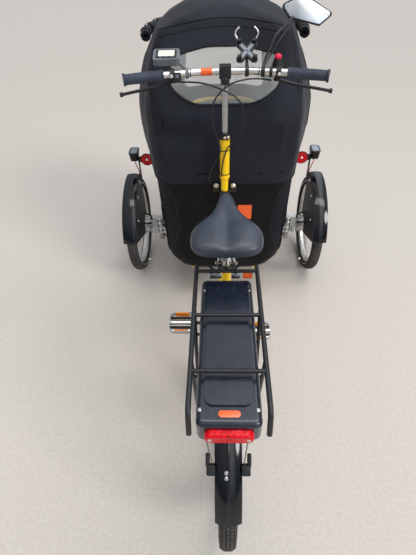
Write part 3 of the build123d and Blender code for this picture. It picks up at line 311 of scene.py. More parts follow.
def clear_vinyl():
    """Window vinyl: thin, clear, glossy and slightly milky, with the ripples of a sheet once rolled up."""
    made, tree, shader, place = finish_of(
        "window_vinyl", "#C9CDCB", Roughness=0.08, Specular_IOR_Level=0.8, Alpha=0.22,
    )
    relief(tree, shader, speckle(tree, place, 0.07, 3.0, (1, 0.3, 1)), 0.004)
    return made


def lens(name, dark, light):
    """Moulded lens: deep clear colour with close prisms behind its face."""
    made, tree, shader, place = finish_of(
        name, light, Roughness=0.2, Specular_IOR_Level=0.25, Coat_Weight=0.05, Coat_Roughness=0.04,
    )
    cells = put(tree, "ShaderNodeTexVoronoi", {"Vector": place, "Scale": 1 / 0.006}).outputs["Distance"]
    tint(tree, shader, cells, light, dark, 0.0, 0.75)
    relief(tree, shader, cells, 0.0004)
    return made


def reflex_tape(name, dark, light):
    """Retro-reflective sheeting: bright, with a net of sealed cells."""
    made, tree, shader, place = finish_of(name, light, Roughness=0.35, Coat_Weight=0.5, Coat_Roughness=0.08)
    edges = put(tree, "ShaderNodeTexVoronoi", {
        "Vector": place, "Scale": 1 / 0.004,
    }, feature="DISTANCE_TO_EDGE").outputs["Distance"]
    tint(tree, shader, edges, dark, light, 0.02, 0.12)
    return made


def birch_board():
    """Stained birch ply: dark brown with long grain across the bench."""
    made, tree, shader, place = finish_of("stained_birch", "#3A2A1E", Roughness=0.5)
    tint(tree, shader, speckle(tree, place, 0.02, 5.0, (0.12, 1, 1)), "#2B1E15", "#4A3626")
    relief(tree, shader, speckle(tree, place, 0.003, 3.0, (0.1, 1, 1)), 0.0002)
    return made


def saddle_skin():
    """Polyurethane saddle cover: charcoal grey, satin, with a fine pebble grain."""
    made, tree, shader, place = finish_of("saddle_skin", "#363B44", Roughness=0.36, Specular_IOR_Level=0.45)
    tint(tree, shader, speckle(tree, place, 0.05, 3.0), "#2E343F", "#3A414D")
    pebbles = put(tree, "ShaderNodeTexVoronoi", {"Vector": place, "Scale": 1 / 0.0016}).outputs["Distance"]
    relief(tree, shader, pebbles, 0.00012)
    return made


YELLOW = enamel_yellow()
BLACK_ENAMEL = enamel_black()
# metals: brushed and satin tubes spread their highlights, and plated and polished ones mirror the sky
ALUMINIUM = bare_metal("brushed_aluminium", "#E2E1DE", 0.34, (0.15, 1, 1))
POST_STEEL = bare_metal("satin_steel_tube", "#B4B5B5", 0.3, (1, 1, 0.1))
CHROME = bare_metal("chromed_steel", "#E6E6E4", 0.14)
SPOKE_STEEL = bare_metal("stainless_spoke", "#B9BBBD", 0.28)
OILED_STEEL = bare_metal("oiled_chain_steel", "#6A665F", 0.38)
BRONZE = bare_metal("yellow_zinc_bolt", "#A98A55", 0.3)
MIRROR_GLASS = bare_metal("silvered_glass", "#DDE2E4", 0.03, grain_depth=0.0)
# rubber: walls are dark, the tread is paler with dust, and the grips are blue-grey with a soft sheen
TYRE = dusty_rubber("tyre_rubber", "#131416", "#2E2D2E")
TREAD = dusty_rubber("tyre_tread_rubber", "#2A2A2C", "#5B5753")
GRIP = moulded("grip_rubber", "#28303E", "#343D4C", 0.6, 0.0016, 0.0001)
# moulded plastics: nylon and ABS are satin, and the screen and the lamp glass shine under a clear coat
CABLE = moulded("cable_housing_pvc", "#0D0E10", "#141518", 0.34)
BLACK_PLASTIC = moulded("moulded_nylon_black", "#101113", "#17181B", 0.48)
GREY_PLASTIC = moulded("moulded_abs_grey", "#5D6166", "#6B7076", 0.38)
PALE_PLASTIC = moulded("silicone_pad_grey", "#777D87", "#8B919A", 0.5)
SCREEN_FACE = moulded("backlit_screen", "#DCDCCF", "#E8E8DC", 0.2, 0.004, 0.00001, 0.5)
LAMP_GLASS = moulded("lamp_glass_blue_grey", "#5D6B77", "#7C8B96", 0.12, 0.006, 0.0002, 0.8)
RED_VINYL = moulded("pvc_red", "#D31440", "#EA1B4C", 0.35)
GUARD = guard_lacquer()
TUB_PLASTIC = tub_skin()
BATTERY_CASE = moulded("battery_case_abs", "#111824", "#1B2334", 0.28, 0.0009, 0.00005, 0.4)
# cloth: matt and deep, with the weave showing close by
CANVAS = canvas("acrylic_canvas_black", "#0A0D17", "#141927")
SEAT_CLOTH = canvas("seat_cloth_grey", "#26272B", "#323338")
BINDING = canvas("hood_binding", "#0A0B0D", "#111215", 0.0016)
VINYL = clear_vinyl()
# lenses: the red one's colour is pushed brighter than the light on it gives, a painted glow, and reflective tape
# is flat and bright
# painted glow: the red lens's light colour is raised to stand in for light that its backward face does not catch
RED_LENS_PAINTED_BRIGHT = lens("red_lens", "#B80010", "#FF0A22")
AMBER_LENS = lens("amber_lens", "#E87A00", "#FFA51E")
ORANGE_TAPE = reflex_tape("orange_reflex_tape", "#D2440C", "#FF6A1E")
SILVER_TAPE = reflex_tape("silver_reflex_tape", "#8C9196", "#C9CDD0")
SADDLE = saddle_skin()
BENCH = birch_board()
THREAD = moulded("bonded_nylon_thread", "#23262E", "#30343E", 0.6)

FINISH_OF_NODE = {
    YELLOW: ("main_frame", "under_frame", "rear_triangle", "rim_ring"),
    BLACK_ENAMEL: (
        "headset", "tub_bracket", "rack", "stem", "left_tie_rod", "right_tie_rod", "rear_hub", "crankset",
    ),
    ALUMINIUM: (
        "hood_hoops", "handlebar", "front_left_rim", "front_right_rim", "rear_rim", "front_left_hub",
        "front_right_hub", "left_pedal", "right_pedal",
    ),
    POST_STEEL: ("steering_column", "seat_post"),
    SPOKE_STEEL: (
        "front_axle", "rear_axle", "left_knuckle", "right_knuckle", "front_left_spokes", "front_right_spokes",
        "rear_spokes", "guard_stays",
    ),
    OILED_STEEL: ("chain",),
    TYRE: ("front_left_tyre", "front_right_tyre", "rear_tyre"),
    GRIP: ("grips",),
    BLACK_PLASTIC: ("brake_levers", "phone_holder", "horn", "mirror", "left_headlight", "right_headlight"),
    GREY_PLASTIC: ("display",),
    GUARD: ("rear_mudguard", "left_mudguard", "right_mudguard"),
    TUB_PLASTIC: ("tub_shell",),
    VINYL: ("tub_windows", "hood_windows"),
    BATTERY_CASE: ("battery",),
    RED_LENS_PAINTED_BRIGHT: ("tail_light", "left_reflector", "right_reflector"),
    CANVAS: ("hood", "hood_rolls"),
    SEAT_CLOTH: ("bench_pads",),
    BENCH: ("bench",),
    SADDLE: ("saddle",),
}
for finish, names in FINISH_OF_NODE.items():
    for name in names:
        nodes[name].data.materials.clear()
        nodes[name].data.materials.append(finish)


# Shapes

def made_of(name, points, faces, finish):
    """A smooth mesh object at the origin, with its normals outwards."""
    mesh = bpy.data.meshes.new(name)
    mesh.from_pydata([tuple(p) for p in points], [], faces)
    bm = bmesh.new()
    bm.from_mesh(mesh)
    bmesh.ops.remove_doubles(bm, verts=bm.verts, dist=1e-6)
    bmesh.ops.recalc_face_normals(bm, faces=bm.faces)
    bm.to_mesh(mesh)
    bm.free()
    mesh.shade_smooth()
    mesh.materials.append(finish)
    thing = bpy.data.objects.new(name, mesh)
    scene.collection.objects.link(thing)
    return thing


def settled(thing):
    """The object with its modifiers applied to its mesh."""
    graph = bpy.context.evaluated_depsgraph_get()
    mesh = bpy.data.meshes.new_from_object(thing.evaluated_get(graph))
    old = thing.data
    thing.modifiers.clear()
    if thing.type != "MESH":
        fresh = bpy.data.objects.new(thing.name, mesh)
        scene.collection.objects.link(fresh)
        name = thing.name
        bpy.data.objects.remove(thing)
        fresh.name = name
        return fresh
    thing.data = mesh
    bpy.data.meshes.remove(old)
    return thing


def with_modifier(thing, kind, **settings):
    """Adds a modifier and applies it."""
    modifier = thing.modifiers.new(kind.lower(), kind)
    for name, value in settings.items():
        setattr(modifier, name, value)
    return settled(thing)


def creased(thing, angle=35):
    """Smooth shading that keeps edges sharper than an angle."""
    thing.data.shade_smooth()
    thing.data.set_sharp_from_angle(angle=math.radians(angle))
    return thing


def one(name, things):
    """Joins objects into one."""
    bm = bmesh.new()
    finishes = []
    for thing in things:
        offset = {}
        for index, finish in enumerate(thing.data.materials):
            if finish not in finishes:
                finishes.append(finish)
            offset[index] = finishes.index(finish)
        start = len(bm.faces)
        bm.from_mesh(thing.data)
        bm.faces.ensure_lookup_table()
        for face in bm.faces[start:]:
            face.material_index = offset.get(face.material_index, 0)
    mesh = bpy.data.meshes.new(name)
    bm.to_mesh(mesh)
    bm.free()
    for finish in finishes:
        mesh.materials.append(finish)
    for thing in things:
        bpy.data.objects.remove(thing)
    whole = bpy.data.objects.new(name, mesh)
    scene.collection.objects.link(whole)
    return whole


def skin(name, rings, finish, closed=True, caps=True):
    """A surface through rings of points."""
    count = len(rings[0])
    points = [p for ring in rings for p in ring]
    faces = []
    for row in range(len(rings) - 1):
        for i in range(count if closed else count - 1):
            j = (i + 1) % count
            faces.append((row * count + i, row * count + j, (row + 1) * count + j, (row + 1) * count + i))
    if caps and closed:
        faces.append(tuple(range(count))[::-1])
        faces.append(tuple(range((len(rings) - 1) * count, len(rings) * count)))
    return made_of(name, points, faces, finish)


def square_to(axis):
    """An axis at length 1, and two directions square to it."""
    axis = Vector(axis).normalized()
    across = axis.cross(UPWARDS if abs(axis.z) < 0.9 else RIGHT).normalized()
    return axis, across, across.cross(axis)


def circle(centre, across, up, radius, sides):
    """Points round a centre, in the plane of two directions."""
    turns = [2 * math.pi * i / sides for i in range(sides)]
    return [Vector(centre) + (across * math.cos(turn) + up * math.sin(turn)) * radius for turn in turns]


def turned(name, start, axis, profile, finish, sides=32):
    """A turned piece: a profile of (distance along the axis, radius) pairs, spun about the axis."""
    axis, across, up = square_to(axis)
    rings = [circle(Vector(start) + axis * along, across, up, radius, sides) for along, radius in profile]
    return creased(skin(name, rings, finish))


def smooth_line(name, points, closed, detail):
    """A curve object that runs smoothly near its points."""
    curve = bpy.data.curves.new(name, "CURVE")
    curve.dimensions = "3D"
    spline = curve.splines.new("NURBS")
    spline.points.add(len(points) - 1)
    for point, place in zip(spline.points, points):
        point.co = (*place, 1)
    spline.order_u = 3
    spline.use_endpoint_u = not closed
    spline.use_cyclic_u = closed
    spline.resolution_u = detail
    thing = bpy.data.objects.new(name, curve)
    scene.collection.objects.link(thing)
    return thing


def wire(name, points, radius, finish, closed=False, detail=6):
    """A round wire on a smooth curve near its points."""
    thing = smooth_line(name, points, closed, detail)
    thing.data.bevel_depth = radius
    thing.data.bevel_resolution = 3
    thing.data.use_fill_caps = True
    thing.data.materials.append(finish)
    thing = settled(thing)
    thing.data.shade_smooth()
    return thing


def slab(name, origin, right, up, outline, depth, finish, bevel=0.0):
    """A flat plate: an outline in a plane, thickened backwards from its face, with rounded edges."""
    right, up = Vector(right).normalized(), Vector(up).normalized()
    out = right.cross(up)
    face = [Vector(origin) + right * x + up * y for x, y in outline]
    back = [p - out * depth for p in face]
    thing = skin(name, [back, face], finish)
    if bevel:
        thing = with_modifier(
            thing, "BEVEL", width=bevel, segments=3, limit_method="ANGLE", angle_limit=math.radians(40),
        )
    return creased(thing, 30)


def rounded_box(width, height, radius, steps=5):
    """Corners of a rounded rectangle about its middle."""
    points = []
    half_width, half_height = width / 2 - radius, height / 2 - radius
    for quarter, (right, up) in enumerate(((1, 1), (-1, 1), (-1, -1), (1, -1))):
        for k in range(steps + 1):
            angle = math.pi / 2 * (quarter + k / steps)
            points.append((
                right * half_width + radius * math.cos(angle), up * half_height + radius * math.sin(angle),
            ))
    return points


def looped(name, rings, finish):
    """A closed tube through rings of points, its last ring joined to its first."""
    return skin(name, rings + rings[:1], finish, caps=False)


def band(name, centre, axis, inner, outer, width, finish, sides=32):
    """A collar: a short sleeve about an axis, with softened edges."""
    half, soft = width / 2, min(width, outer - inner) * 0.25
    profile = [
        (-half, inner), (-half, outer - soft), (-half + soft, outer),
        (half - soft, outer), (half, outer - soft), (half, inner),
    ]
    axis, across, up = square_to(axis)
    rings = [circle(Vector(centre) + axis * along, across, up, radius, sides) for along, radius in profile]
    return creased(looped(name, rings, finish))


def surface_of(thing):
    """A piece's skin, to cast rays on."""
    faces = [tuple(face.vertices) for face in thing.data.polygons]
    return BVHTree.FromPolygons([vertex.co for vertex in thing.data.vertices], faces)


def on_surface(surface, place, direction, lift=0.0):
    """Where a ray meets a skin, lifted off it; the place itself where it misses."""
    direction = Vector(direction).normalized()
    start = Vector(place) - direction * 0.5
    hit = surface.ray_cast(start, direction)[0]
    return (hit if hit is not None else Vector(place)) - direction * lift


def laid(thing, body, slot, *replaced):
    """Puts a piece on a body and hides what it replaces; its slot is not used."""
    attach(thing, body)
    if replaced:
        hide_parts(*replaced)
    return thing


def patch(name, surface, corners, direction, finish):
    """A thin label or tape that follows a skin, between four corners."""
    thick, lift, steps = 0.0008, 0.0014, 10
    first, second, third, fourth = (Vector(c) for c in corners)
    rows = []
    for i in range(steps + 1):
        left = first.lerp(fourth, i / steps)
        right_end = second.lerp(third, i / steps)
        rows.append([
            on_surface(surface, left.lerp(right_end, j / steps), direction, lift) for j in range(steps + 1)
        ])
    thing = skin(name, rows, finish, closed=False, caps=False)
    return creased(with_modifier(thing, "SOLIDIFY", thickness=thick, offset=0.0), 40)


# Geometry node trees for what repeats

def node_tree(name, inputs):
    """An empty tree of geometry nodes with named inputs, and what it is given."""
    tree = bpy.data.node_groups.new(name, "GeometryNodeTree")
    for label, kind in inputs:
        tree.interface.new_socket(label, in_out="INPUT", socket_type="NodeSocket" + kind)
    tree.interface.new_socket("Geometry", in_out="OUTPUT", socket_type="NodeSocketGeometry")
    return tree, put(tree, "NodeGroupInput").outputs


def finish_tree(tree, geometry, finish):
    """Realizes the instances, gives them their finish and ends the tree."""
    real = put(tree, "GeometryNodeRealizeInstances", {0: geometry}).outputs[0]
    dressed = put(tree, "GeometryNodeSetMaterial", {"Geometry": real, "Material": finish}).outputs[0]
    put(tree, "NodeGroupOutput", {0: dressed})


def grown(name, tree, mesh=None, **values):
    """A plain mesh that a tree makes from a starting mesh, or from none, and values for its inputs."""
    thing = bpy.data.objects.new(name, mesh or bpy.data.meshes.new(name))
    scene.collection.objects.link(thing)
    modifier = thing.modifiers.new("grown", "NODES")
    modifier.node_group = tree
    for item in tree.interface.items_tree:
        label = item.name.replace(" ", "_").lower()
        if item.in_out == "INPUT" and label in values:
            modifier[item.identifier] = values[label]
    return settled(thing)


def fastener_tree():
    """Screw heads at points, each with a washer, facing along the points' own directions."""
    tree, given = node_tree("fasteners", (
        ("Geometry", "Geometry"), ("Head Radius", "Float"), ("Head Height", "Float"), ("Sides", "Int"),
        ("Finish", "Material"),
    ))
    radius, height = given["Head Radius"], given["Head Height"]
    solids = []
    # radius at the foot and top as shares of the head's radius, foot and depth as shares of its height
    for foot_share, top_share, start_share, depth_share, sides in (
        (1.45, 1.40, 0.0, 0.22, 24), (1.0, 1.0, 0.0, 0.75, None), (1.0, 0.78, 0.75, 0.25, None),
    ):
        sizes = {}
        for label, value, share in (
            ("Radius Bottom", radius, foot_share),
            ("Radius Top", radius, top_share),
            ("Depth", height, depth_share),
        ):
            sizes[label] = put(tree, "ShaderNodeMath", {0: value, 1: share}, operation="MULTIPLY").outputs[0]
        sizes["Vertices"] = sides or given["Sides"]
        cone = put(tree, "GeometryNodeMeshCone", sizes).outputs["Mesh"]
        start = put(tree, "ShaderNodeMath", {0: height, 1: start_share}, operation="MULTIPLY").outputs[0]
        shift = put(tree, "ShaderNodeCombineXYZ", {"Z": start}).outputs[0]
        solids.append(put(tree, "GeometryNodeTransform", {"Geometry": cone, "Translation": shift}).outputs[0])
    head = put(tree, "GeometryNodeJoinGeometry")
    for solid in solids:
        tree.links.new(solid, head.inputs[0])
    facing = put(tree, "GeometryNodeInputNamedAttribute", {"Name": "facing"}, data_type="FLOAT_VECTOR")
    turn = put(tree, "FunctionNodeAlignRotationToVector", {"Vector": facing.outputs[0]}, axis="Z").outputs[0]
    placed = put(tree, "GeometryNodeInstanceOnPoints", {
        "Points": given["Geometry"], "Instance": head.outputs[0], "Rotation": turn,
    }).outputs[0]
    finish_tree(tree, placed, given["Finish"])
    return tree


def stitch_tree():
    """Short stitches along a line of points, each turned along the line."""
    tree, given = node_tree("stitches", (
        ("Geometry", "Geometry"), ("Spacing", "Float"), ("Stitch Length", "Float"),
        ("Thread Radius", "Float"), ("Finish", "Material"),
    ))
    line = put(tree, "GeometryNodeMeshToCurve", {0: given["Geometry"]}).outputs[0]
    places = put(tree, "GeometryNodeCurveToPoints", {
        "Curve": line, "Length": given["Spacing"],
    }, mode="LENGTH").outputs
    stitch = put(tree, "GeometryNodeMeshCylinder", {
        "Vertices": 5, "Radius": given["Thread Radius"], "Depth": given["Stitch Length"],
    }).outputs["Mesh"]
    placed = put(tree, "GeometryNodeInstanceOnPoints", {
        "Points": places["Points"], "Instance": stitch, "Rotation": places["Rotation"],
    }).outputs[0]
    finish_tree(tree, placed, given["Finish"])
    return tree


def wheel_block_tree():
    """Blocks set evenly round an axle that runs along X, such as a tyre's tread."""
    tree, given = node_tree("blocks_round_axle", (
        ("Geometry", "Geometry"), ("Count", "Int"), ("Radius", "Float"), ("Phase", "Float"),
        ("Tilt", "Float"), ("Slant", "Float"), ("Size", "Vector"), ("Centre", "Vector"),
        ("Finish", "Material"),
    ))
    points = put(tree, "GeometryNodePoints", {"Count": given["Count"]}).outputs[0]
    index = put(tree, "GeometryNodeInputIndex").outputs[0]
    step = put(tree, "ShaderNodeMath", {0: 2 * math.pi, 1: given["Count"]}, operation="DIVIDE").outputs[0]
    turn = put(tree, "ShaderNodeMath", {
        0: index, 1: step, 2: given["Phase"],
    }, operation="MULTIPLY_ADD").outputs[0]
    block = put(tree, "GeometryNodeMeshCube", {"Size": given["Size"]}).outputs[0]
    lean = put(tree, "ShaderNodeCombineXYZ", {"Y": given["Tilt"], "Z": given["Slant"]}).outputs[0]
    out = put(tree, "ShaderNodeCombineXYZ", {"Z": given["Radius"]}).outputs[0]
    raised = put(tree, "GeometryNodeTransform", {
        "Geometry": block, "Translation": out, "Rotation": lean,
    }).outputs[0]
    around = put(tree, "ShaderNodeCombineXYZ", {"X": turn}).outputs[0]
    placed = put(tree, "GeometryNodeInstanceOnPoints", {
        "Points": points, "Instance": raised, "Rotation": around,
    }).outputs[0]
    moved = put(tree, "GeometryNodeTransform", {"Geometry": placed, "Translation": given["Centre"]})
    finish_tree(tree, moved.outputs[0], given["Finish"])
    return tree


FASTENERS = fastener_tree()
STITCHES = stitch_tree()
WHEEL_BLOCKS = wheel_block_tree()


def fasteners(name, body, slot, finish, radius, height, sides, places):
    """Screws on a body; places holds the node under each, its place and the direction its head faces.

    Where the node is None, the place is taken as it is.
    """
    skins = {node: surface_of(nodes[node]) for node, _, _ in places if node}
    seats = []
    for node, place, facing in places:
        seats.append(on_surface(skins[node], place, -facing) if node else Vector(place))
    mesh = bpy.data.meshes.new(name + "_places")
    mesh.from_pydata([tuple(seat) for seat in seats], [], [])
    way = mesh.attributes.new("facing", "FLOAT_VECTOR", "POINT")
    way.data.foreach_set("vector", [c for _, _, facing in places for c in facing])
    thing = grown(name, FASTENERS, mesh, head_radius=radius, head_height=height, sides=sides, finish=finish)
    return laid(thing, body, slot)


def stitched(name, points, closed):
    """Stitches 3.6 mm long along a line of points, one every 6.2 mm."""
    mesh = bpy.data.meshes.new(name + "_line")
    count = len(points)
    edges = [(i, (i + 1) % count) for i in range(count if closed else count - 1)]
    mesh.from_pydata([tuple(p) for p in points], edges, [])
    return grown(
        name, STITCHES, mesh, spacing=0.0062, stitch_length=0.0036, thread_radius=0.0005, finish=THREAD,
    )


# Hood

# height, back, nose, half width at the back, widest half width, y of the widest place
HOOD_ROWS = np.array([
    (0.690, 0.156, 1.001, 0.272, 0.346, 0.469),
    (0.800, 0.167, 0.993, 0.282, 0.361, 0.464),
    (0.930, 0.195, 0.979, 0.285, 0.361, 0.459),
    (1.040, 0.249, 0.919, 0.275, 0.331, 0.459),
    (1.130, 0.299, 0.859, 0.255, 0.290, 0.469),
    (1.185, 0.327, 0.811, 0.236, 0.262, 0.479),
    (1.222, 0.344, 0.769, 0.150, 0.215, 0.489),
    (1.245, 0.389, 0.719, 0.070, 0.160, 0.509),
    (1.255, 0.459, 0.659, 0.040, 0.098, 0.529),
])
# the outline's front corners, as shares of its width and of its length in front of the widest place
SHOULDER_WIDTH, SHOULDER_PLACE, NOSE_WIDTH = 0.80, 0.55, 0.42
# radii of the corners from back to front, as shares of the length
BEND_SHARES = (0.11, 0.30, 0.50, 0.16)
HEM = 0.690
RIDGE = 1.185
# places behind this Y are on the hood's back wall
BACK_WALL_Y = 0.34

# long folds on the back of the hood: x and z at the top, x and z at the foot, half width, depth
BACK_FOLDS = (
    (-0.200, 0.985, -0.085, 0.735, 0.016, -0.0060),
    (-0.165, 0.965, -0.045, 0.740, 0.014, 0.0035),
    (-0.250, 1.010, -0.135, 0.755, 0.018, 0.0065),
    (-0.245, 0.960, -0.180, 0.760, 0.014, -0.0050),
    (-0.275, 1.060, -0.235, 0.780, 0.014, 0.0040),
    (0.215, 0.990, 0.180, 0.725, 0.018, 0.0060),
    (0.180, 0.960, 0.140, 0.740, 0.015, -0.0045),
    (0.250, 1.010, 0.225, 0.745, 0.014, -0.0045),
    (0.275, 1.060, 0.265, 0.760, 0.013, 0.0040),
    (-0.010, 0.960, -0.020, 0.760, 0.022, 0.0025),
    (-0.255, 1.150, -0.215, 1.060, 0.012, -0.0030),
    (0.255, 1.150, 0.220, 1.060, 0.012, -0.0030),
)
# how much deeper than in the table the folds are made
FOLD_SCALE = 2.1
# how far they run on above their top and below their foot, as shares of their length
FOLD_ABOVE, FOLD_BELOW = 0.25, 0.30


def round_outline(corners, bends, straight=7, curve=7):
    """Points round a closed outline of straight runs and arcs, always in the same number."""
    corners = [complex(*c) for c in corners]
    arcs = []
    for i, corner in enumerate(corners):
        back = corners[i - 1] - corner
        ahead_of = corners[(i + 1) % len(corners)] - corner
        back, ahead_of = back / abs(back), ahead_of / abs(ahead_of)
        turn = cmath.phase(-ahead_of / back)
        cut = bends[i] * math.tan(abs(turn) / 2)
        start = corner + back * cut
        centre = start + bends[i] * 1j * (-back) * (1 if turn > 0 else -1)
        arcs.append([centre + (start - centre) * cmath.exp(1j * turn * k / curve) for k in range(curve + 1)])
    points = []
    for arc, following in zip(arcs, arcs[1:] + arcs[:1]):
        points += arc
        points += [arc[-1] + (following[0] - arc[-1]) * k / straight for k in range(1, straight)]
    return [(p.real, p.imag) for p in points]


def widened(points, distance):
    """A closed outline moved outwards by a distance."""
    centre_a = sum(a for a, _ in points) / len(points)
    centre_b = sum(b for _, b in points) / len(points)
    moved = []
    for i, (a, b) in enumerate(points):
        before, after = points[i - 2], points[(i + 2) % len(points)]
        normal = Vector((after[1] - before[1], before[0] - after[0])).normalized()
        if normal.dot(Vector((a - centre_a, b - centre_b))) < 0:
            normal = -normal
        moved.append((a + normal.x * distance, b + normal.y * distance))
    return moved


def hood_ring(height, inset=0.0):
    """The hood's outline at a height, drawn in by an inset.

    Each size is a mean over nearby heights, so that the walls bend smoothly from row to row.
    """
    blend = 0.018 if height < 1.16 else 0.004
    back, nose, rear_half, wide_half, wide_y = (
        np.mean([
            np.interp(height + shift, HOOD_ROWS[:, 0], HOOD_ROWS[:, column])
            for shift in np.linspace(-blend, blend, 5)
        ])
        for column in range(1, 6)
    )
    right = [
        (rear_half - inset, back + inset),
        (wide_half - inset, wide_y),
        ((wide_half - inset) * SHOULDER_WIDTH, wide_y + (nose - wide_y) * SHOULDER_PLACE),
        ((wide_half - inset) * NOSE_WIDTH, nose - inset),
    ]
    corners = right + [(-x, y) for x, y in reversed(right)]
    bends = [(nose - back) * share for share in BEND_SHARES]
    return [Vector((x, y, height)) for x, y in round_outline(corners, bends + bends[::-1])]


def back_fold(place):
    """How far the long folds move a place on the back of the hood."""
    move = 0.0
    for top_x, top_z, foot_x, foot_z, half, depth in BACK_FOLDS:
        along = (top_z - place.z) / (top_z - foot_z)
        middle = top_x + (foot_x - top_x) * along
        if -FOLD_ABOVE < along < 1 + FOLD_BELOW:
            fading = math.sin(math.pi * (along + FOLD_ABOVE) / (1 + FOLD_ABOVE + FOLD_BELOW))
            move += FOLD_SCALE * depth * fading * math.exp(-((place.x - middle) / half) ** 2)
    return move


def drape(place, depth):
    """How far the cloth's folds move a place: long and soft down its sides, slight on its roof.

    The cloth is held taut where the hoops carry it, at its ridge and at its hem.
    """
    if place.z > RIDGE:
        return 0.3 * depth * noise.noise(Vector((place.x * 6, place.y * 6, 3.0)))
    long_fold = noise.noise(Vector((place.x * 11, place.y * 9, place.z * 1.6)))
    small_fold = noise.noise(Vector((place.x * 28, place.y * 24, place.z * 4.5 + 7)))
    free = min(1.0, (RIDGE - place.z) / 0.08) * min(1.0, 0.35 + (place.z - HEM) / 0.1)
    move = depth * free * (long_fold + 0.35 * small_fold)
    if place.y < BACK_WALL_Y:
        move = 0.5 * move + back_fold(place) * min(1.0, (RIDGE - place.z) / 0.05)
    return move


def hood_skin(name, finish, inset, depth, heights):
    """The hood's cloth from hem to roof, with its folds, as one open sheet."""
    rings = []
    for height in heights:
        ring = hood_ring(height, inset)
        centre = sum(ring, Vector()) / len(ring)
        rings.append([p + (p - centre).normalized() * drape(p, depth) for p in ring])
    top = rings[-1]
    centre = sum(top, Vector()) / len(top)
    for share, rise in ((0.7, 0.001), (0.4, 0.0015), (0.12, 0.002)):
        rings.append([centre + (p - centre) * share + Vector((0, 0, rise)) for p in top])
    thing = skin(name, rings, finish, caps=False)
    bm = bmesh.new()
    bm.from_mesh(thing.data)
    bmesh.ops.holes_fill(bm, edges=[e for e in bm.edges if e.is_boundary and e.verts[0].co.z > 1.2])
    bmesh.ops.recalc_face_normals(bm, faces=bm.faces)
    bm.to_mesh(thing.data)
    bm.free()
    return thing


def prism(name, outline, plane, low, high):
    """A cutter: an outline in the XZ or YZ plane, drawn out from low to high."""
    if plane == "XZ":
        ends = [[Vector((x, depth, z)) for x, z in outline] for depth in (low, high)]
    else:
        ends = [[Vector((depth, y, z)) for y, z in outline] for depth in (low, high)]
    return skin(name, ends, CANVAS)


def cut_by(thing, cutters, operation):
    """Cuts a piece by prisms, one after another."""
    for cutter in cutters:
        thing = with_modifier(thing, "BOOLEAN", operation=operation, object=cutter, solver="EXACT")
    return thing


def both_sides(corners, bends):
    """A closed outline from the corners of its right half."""
    return round_outline(corners + [(-x, z) for x, z in reversed(corners)], bends + bends[::-1], 10, 6)


REAR_WINDOW = both_sides(
    [(0.118, 0.981), (0.201, 1.036), (0.185, 1.118), (0.060, 1.142)], [0.150, 0.050, 0.026, 0.2],
)
WINDSCREEN = both_sides([(0.205, 0.800), (0.165, 1.120)], [0.04, 0.04])
SIDE_OPENING = round_outline([(0.414, 0.800), (0.729, 0.800), (0.709, 1.085), (0.439, 1.095)], [0.045] * 4)

# heights of the cloth's rows of points: even up its walls, and closer over the ridge
heights = [HEM + 0.0099 * i for i in range(50)]
heights += [1.185, 1.191, 1.198, 1.206, 1.213, 1.2185, 1.2225, 1.2275, 1.234, 1.240, 1.2455, 1.250, 1.254]
cloth = hood_skin("hood_cloth", CANVAS, 0.003, 0.009, heights)
cloth = with_modifier(cloth, "SOLIDIFY", thickness=0.0025, offset=-1)
rear_cut = prism("cut_rear", REAR_WINDOW, "XZ", 0.10, 0.36)
front_cut = prism("cut_front", WINDSCREEN, "XZ", 0.729, 1.05)
side_cut = prism("cut_sides", SIDE_OPENING, "YZ", -0.45, 0.45)
cloth = creased(cut_by(cloth, (rear_cut, front_cut, side_cut), "DIFFERENCE"), 50)
panes = []
for pane_name, cutter in (("rear_pane", rear_cut), ("front_pane", front_cut)):
    sheet = hood_skin(pane_name, VINYL, 0.005, 0.003, heights)
    sheet = with_modifier(sheet, "SOLIDIFY", thickness=0.0008, offset=-1)
    panes.append(creased(cut_by(sheet, (cutter,), "INTERSECT"), 50))
for cutter in (rear_cut, front_cut, side_cut):
    bpy.data.objects.remove(cutter)
panes = one("hood_panes", panes)
laid(cloth, "body", "canvas", "hood")
laid(panes, "body", "clear_window", "hood_windows")

cloth_skin = surface_of(cloth)


def round_hem(height, lift):
    """Points round the cloth at a height."""
    ring = hood_ring(height, -0.03)
    centre = sum(ring, Vector()) / len(ring)
    return [on_surface(cloth_skin, p, centre - p, lift) for p in ring]


def across_back(points, lift):
    """Points in X and Z, cast onto the back of the cloth."""
    return [on_surface(cloth_skin, (x, 0.05, z), FORWARDS, lift) for x, z in points]


def arch(crown, drop, half):
    """A shallow arch across the back of the hood, from its height, its drop at 0.24 m out and half its width."""
    places = [half * i / 20 for i in range(-20, 21)]
    return [(x, crown - drop * (x / 0.24) ** 2) for x in places]


